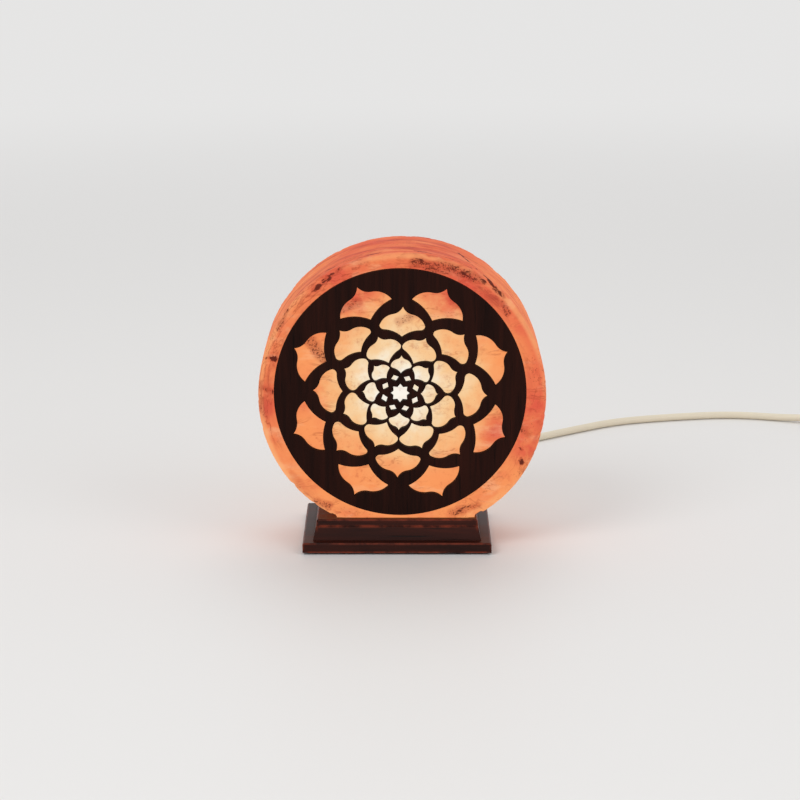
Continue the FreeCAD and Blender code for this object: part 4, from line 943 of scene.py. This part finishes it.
def makeWood(name, wood):
    material, tree, shader = startMaterial(name)
    coords = objectCoords(tree)
    board = stretched(tree, coords, wood["grain"], wood["turn"])
    fine = noiseOf(tree, board, wood["scale"], *figuring["fine"])
    broad = noiseOf(tree, board, wood["scale"] * figuring["broadSize"], *figuring["broad"])
    tone = plus(tree, times(tree, fine, figuring["fineShare"]),
                times(tree, broad, figuring["broadShare"]))
    tones = (wood["dark"], mixOf(wood["dark"], wood["light"], figuring["middleTone"]), wood["light"])
    color = rampOf(tree, tone, list(zip(figuring["toneStops"], tones)))
    # pores are shorter than the grain
    poreGrain = [part * figuring["poreLength"] if part < 1 else part for part in wood["grain"]]
    pores = noiseOf(tree, stretched(tree, coords, poreGrain, wood["turn"]),
                    wood["scale"] * figuring["poreSize"], *figuring["pores"])
    pores = fade(tree, pores, *figuring["poresFrom"])
    color = mixColors(tree, times(tree, pores, figuring["poreShare"]), color, wood["pore"])
    if "charred" in wood:
        facing = splitUp(tree, addNode(tree, "TexCoord").outputs["Normal"])[1]
        cutEdge = minus(tree, 1.0, fade(tree, absolute(tree, facing), *wood["charredFrom"]))
        color = mixColors(tree, times(tree, cutEdge, wood["charredShare"]), color, wood["charred"])
    # edges made lighter: partly wear, partly a painted highlight
    for piece in wood["wearAndHighlightPieces"]:
        color = mixColors(tree, wearAndHighlightEdges(tree, coords, piece), color, wood["wearAndHighlightTone"])
    relief = minus(tree, times(tree, fine, figuring["figureHeight"]),
                   times(tree, pores, figuring["poreHeight"]))
    setSockets(tree, shader, {
        "Base Color": color,
        "Specular IOR Level": wood["specular"],
        "Roughness": rangeOf(tree, fine, *wood["rough"]),
        "Normal": bumpOf(tree, relief, *figuring["bump"]),
    })
    return material


dress(makeWood("panelBoard", panelWood), "fretwork_panel")
dress(makeWood("baseBoards", baseWood), "base_slab", "base_riser", "base_top_plate")
print("wood stained")

# plain finishes: colour, metal, roughness, how much the tone varies, grain size, strength of its bump
finishes = {
    "leadSheath": ((222, 212, 190), 0.0, 0.38, 0.012, 900, 0.05),
    "switchPlastic": ((224, 214, 193), 0.0, 0.42, 0.008, 1600, 0.12),
    "rockerPlastic": ((234, 226, 207), 0.0, 0.22, 0.006, 900, 0.02),
    "padRubber": ((38, 37, 36), 0.0, 0.75, 0.10, 1100, 0.25),
    "zincSteel": ((186, 186, 182), 1.0, 0.36, 0.08, 600, 0.08),
    "plugNylon": ((176, 176, 170), 0.0, 0.50, 0.05, 700, 0.10),
    "holderResin": ((22, 21, 21), 0.0, 0.22, 0.10, 500, 0.04),
    "contactBrass": ((214, 176, 104), 1.0, 0.28, 0.08, 500, 0.05),
    "springSteel": ((170, 170, 172), 1.0, 0.30, 0.06, 900, 0.06),
    "clampPlastic": ((206, 202, 190), 0.0, 0.45, 0.05, 900, 0.08),
    "bulbCapMetal": ((206, 204, 198), 1.0, 0.26, 0.06, 700, 0.05),
    "blackGlass": ((14, 14, 16), 0.0, 0.12, 0.05, 600, 0.02),
    "pinNickel": ((214, 210, 200), 1.0, 0.18, 0.05, 500, 0.03),
    "sleevePlastic": ((24, 24, 25), 0.0, 0.46, 0.06, 900, 0.08),
}
# which pieces each finish is for; the lead gets its own below
finishedPieces = {
    "switchPlastic": ("switch_lower_shell", "switch_upper_shell", "plug_body", "plug_boot"),
    "rockerPlastic": ("switch_rocker",),
    "padRubber": ("feet",),
    "zincSteel": ("salt_screws", "clamp_screws", "terminal_screws", "switch_screws", "switch_pin"),
    "plugNylon": ("salt_plugs",),
    "holderResin": ("holder_cap", "holder_body", "holder_insulator", "holder_boot"),
    "contactBrass": ("screw_shell", "centre_contact", "switch_contacts", "switch_bridge"),
    "springSteel": ("spring_clips",),
    "clampPlastic": ("cord_clamp",),
    "bulbCapMetal": ("bulb_cap", "bulb_tip"),
    "blackGlass": ("bulb_insulator",),
    "pinNickel": ("plug_pins",),
    "sleevePlastic": ("plug_sleeves",),
}
# what all plain finishes share: how their tone, shine and bump vary
varying = {
    "toneSize": 1 / 14,
    "toneNoise": (4, 0.55),
    "toneStops": (0.35, 0.65),
    "darkensBy": 2.2,
    "shineSize": 1 / 5,
    "shineNoise": 3,
    "shineFrom": 0.8,
    "shineTo": 1.2,
    "bumpNoise": 3,
    "bumpDepth": .0004,
}


def makeFinish(name):
    rgb, metal, rough, vary, size, strength = finishes[name]
    material, tree, shader = startMaterial(name)
    coords = objectCoords(tree)
    color = screenColor(*rgb)[:3]
    darker = tuple(part * (1 - varying["darkensBy"] * vary) for part in color) + (1.0,)
    lighter = tuple(min(part * (1 + vary), 1) for part in color) + (1.0,)
    tone = noiseOf(tree, coords, size * varying["toneSize"], *varying["toneNoise"])
    shine = noiseOf(tree, coords, size * varying["shineSize"], varying["shineNoise"])
    height = noiseOf(tree, coords, size, varying["bumpNoise"])
    setSockets(tree, shader, {
        "Base Color": rampOf(tree, tone, list(zip(varying["toneStops"], (darker, lighter)))),
        "Metallic": metal,
        "Roughness": rangeOf(tree, shine, rough * varying["shineFrom"], rough * varying["shineTo"]),
        "Normal": bumpOf(tree, height, strength, varying["bumpDepth"]),
    })
    return material


cores = {
    "firstColor": screenColor(30, 78, 150),
    "secondColor": screenColor(96, 58, 34),
    "roughness": 0.4,
    "bumpScale": 900,
    "bump": (0.06, .0003),
}


def makeCores():
    # two wires, blue on the left of the lamp and brown on the right
    material, tree, shader = startMaterial("coreInsulation")
    coords = objectCoords(tree)
    side = maths(tree, "GREATER_THAN", splitUp(tree, coords)[0], 0.0)
    setSockets(tree, shader, {
        "Base Color": mixColors(tree, side, cores["firstColor"], cores["secondColor"]),
        "Roughness": cores["roughness"],
        "Normal": bumpOf(tree, noiseOf(tree, coords, cores["bumpScale"]), *cores["bump"]),
    })
    return material


bulb = {
    "glassTints": [(0.3, (0.96, 0.95, 0.93, 1)), (0.7, (1, 1, 1, 1))],
    "tintScale": 30,
    "refraction": 1.5,
    "shine": (0.02, 0.07),
    "shineScale": 60,
    "wireTones": [(0.3, screenColor(255, 190, 110)), (0.7, screenColor(255, 226, 170))],
    "wireScale": 300,
    "wireGlow": 3.0,
}


def makeGlass():
    material, tree, shader = startMaterial("clearGlass")
    coords = objectCoords(tree)
    setSockets(tree, shader, {
        "Base Color": rampOf(tree, noiseOf(tree, coords, bulb["tintScale"]), bulb["glassTints"]),
        "Transmission Weight": 1.0,
        "IOR": bulb["refraction"],
        "Roughness": rangeOf(tree, noiseOf(tree, coords, bulb["shineScale"]), *bulb["shine"]),
    })
    return material


def makeFilament():
    material, tree, shader = startMaterial("glowingWire")
    warm = rampOf(tree, noiseOf(tree, objectCoords(tree), bulb["wireScale"]), bulb["wireTones"])
    setSockets(tree, shader, {
        "Base Color": warm,
        "Emission Color": warm,
        "Emission Strength": bulb["wireGlow"],
    })
    return material


mainsLead.data.materials.append(makeFinish("leadSheath"))
for finish, pieces in finishedPieces.items():
    dress(makeFinish(finish), *pieces)
dress(makeCores(), "cord_leads")
dress(makeGlass(), "bulb_glass", "bulb_stem")
dress(makeFilament(), "bulb_filament")
print("finishes given")

# studio: pale floor, pale surround, three soft lamps
studio = {
    "floorColor": (0.80, 0.79, 0.78, 1),
    "floorRoughness": 0.55,
    "floorSize": 60.0,
    # this far from the lamp, in metres, the floor turns into an even backdrop
    "backdropAround": (0.1, 0.1, 0.0),
    "backdropFrom": 0.7,
    "backdropTo": 2.6,
    "backdropColor": (0.79, 0.785, 0.78, 1),
    "skyStrength": 0.62,
    "lampsAimAt": (0, 0, 0.1),
    # name, place, size in metres, power in watts
    "lamps": [
        ("keyLamp", (-1.3, -1.5, 1.9), 1.3, 20.0),
        ("fillLamp", (1.6, -1.2, 1.3), 1.5, 9.0),
        ("topLamp", (0.1, 1.3, 2.2), 1.6, 9.0),
    ],
}


def seenDirectly(tree):
    # 1 for what the camera sees, straight on, in a reflection or through glass
    path = addNode(tree, "LightPath")
    seen = larger(tree, path.outputs["Is Camera Ray"], path.outputs["Is Glossy Ray"])
    return larger(tree, seen, path.outputs["Is Transmission Ray"])


def makeFloor():
    mesh = bmesh.new()
    half = studio["floorSize"] / 2
    corners = [mesh.verts.new((x * half, y * half, 0)) for x, y in ((-1, -1), (1, -1), (1, 1), (-1, 1))]
    mesh.faces.new(corners)
    floor = addPiece("studioFloor", bpy.data.meshes.new("studioFloor"), mesh)
    material, tree, shader = startMaterial("paleFloor")
    setSockets(tree, shader, {"Base Color": studio["floorColor"], "Roughness": studio["floorRoughness"]})
    away = distanceTo(tree, objectCoords(tree), studio["backdropAround"])
    far = fade(tree, away, studio["backdropFrom"], studio["backdropTo"])
    backdrop = addNode(tree, "Emission", {"Color": studio["backdropColor"], "Strength": 1.0})
    blend = addNode(tree, "MixShader", {0: times(tree, far, seenDirectly(tree)),
                                        1: shader.outputs[0], 2: backdrop.outputs[0]})
    tree.links.new(blend.outputs[0], tree.nodes["Material Output"].inputs["Surface"])
    floor.data.materials.append(material)


def makeSky():
    world = bpy.data.worlds.new("paleSky")
    world.use_nodes = True
    tree = world.node_tree
    tree.nodes.clear()
    even = (studio["skyStrength"],) * 3 + (1,)
    color = mixColors(tree, seenDirectly(tree), even, studio["backdropColor"])
    sky = addNode(tree, "Background", {"Color": color, "Strength": 1.0})
    out = addNode(tree, "OutputWorld")
    tree.links.new(sky.outputs[0], out.inputs["Surface"])
    bpy.context.scene.world = world


def makeLamps():
    for name, place, size, power in studio["lamps"]:
        data = bpy.data.lights.new(name, "AREA")
        data.shape = "DISK"
        data.size = size
        data.energy = power
        lamp = addPiece(name, data)
        lamp.location = place
        aim = Vector(studio["lampsAimAt"]) - Vector(place)
        lamp.rotation_euler = aim.to_track_quat("-Z", "Y").to_euler()


makeFloor()
makeSky()
makeLamps()
bpy.context.scene.view_settings.view_transform = "Standard"
print("studio lit")

bpy.context.view_layer.update()
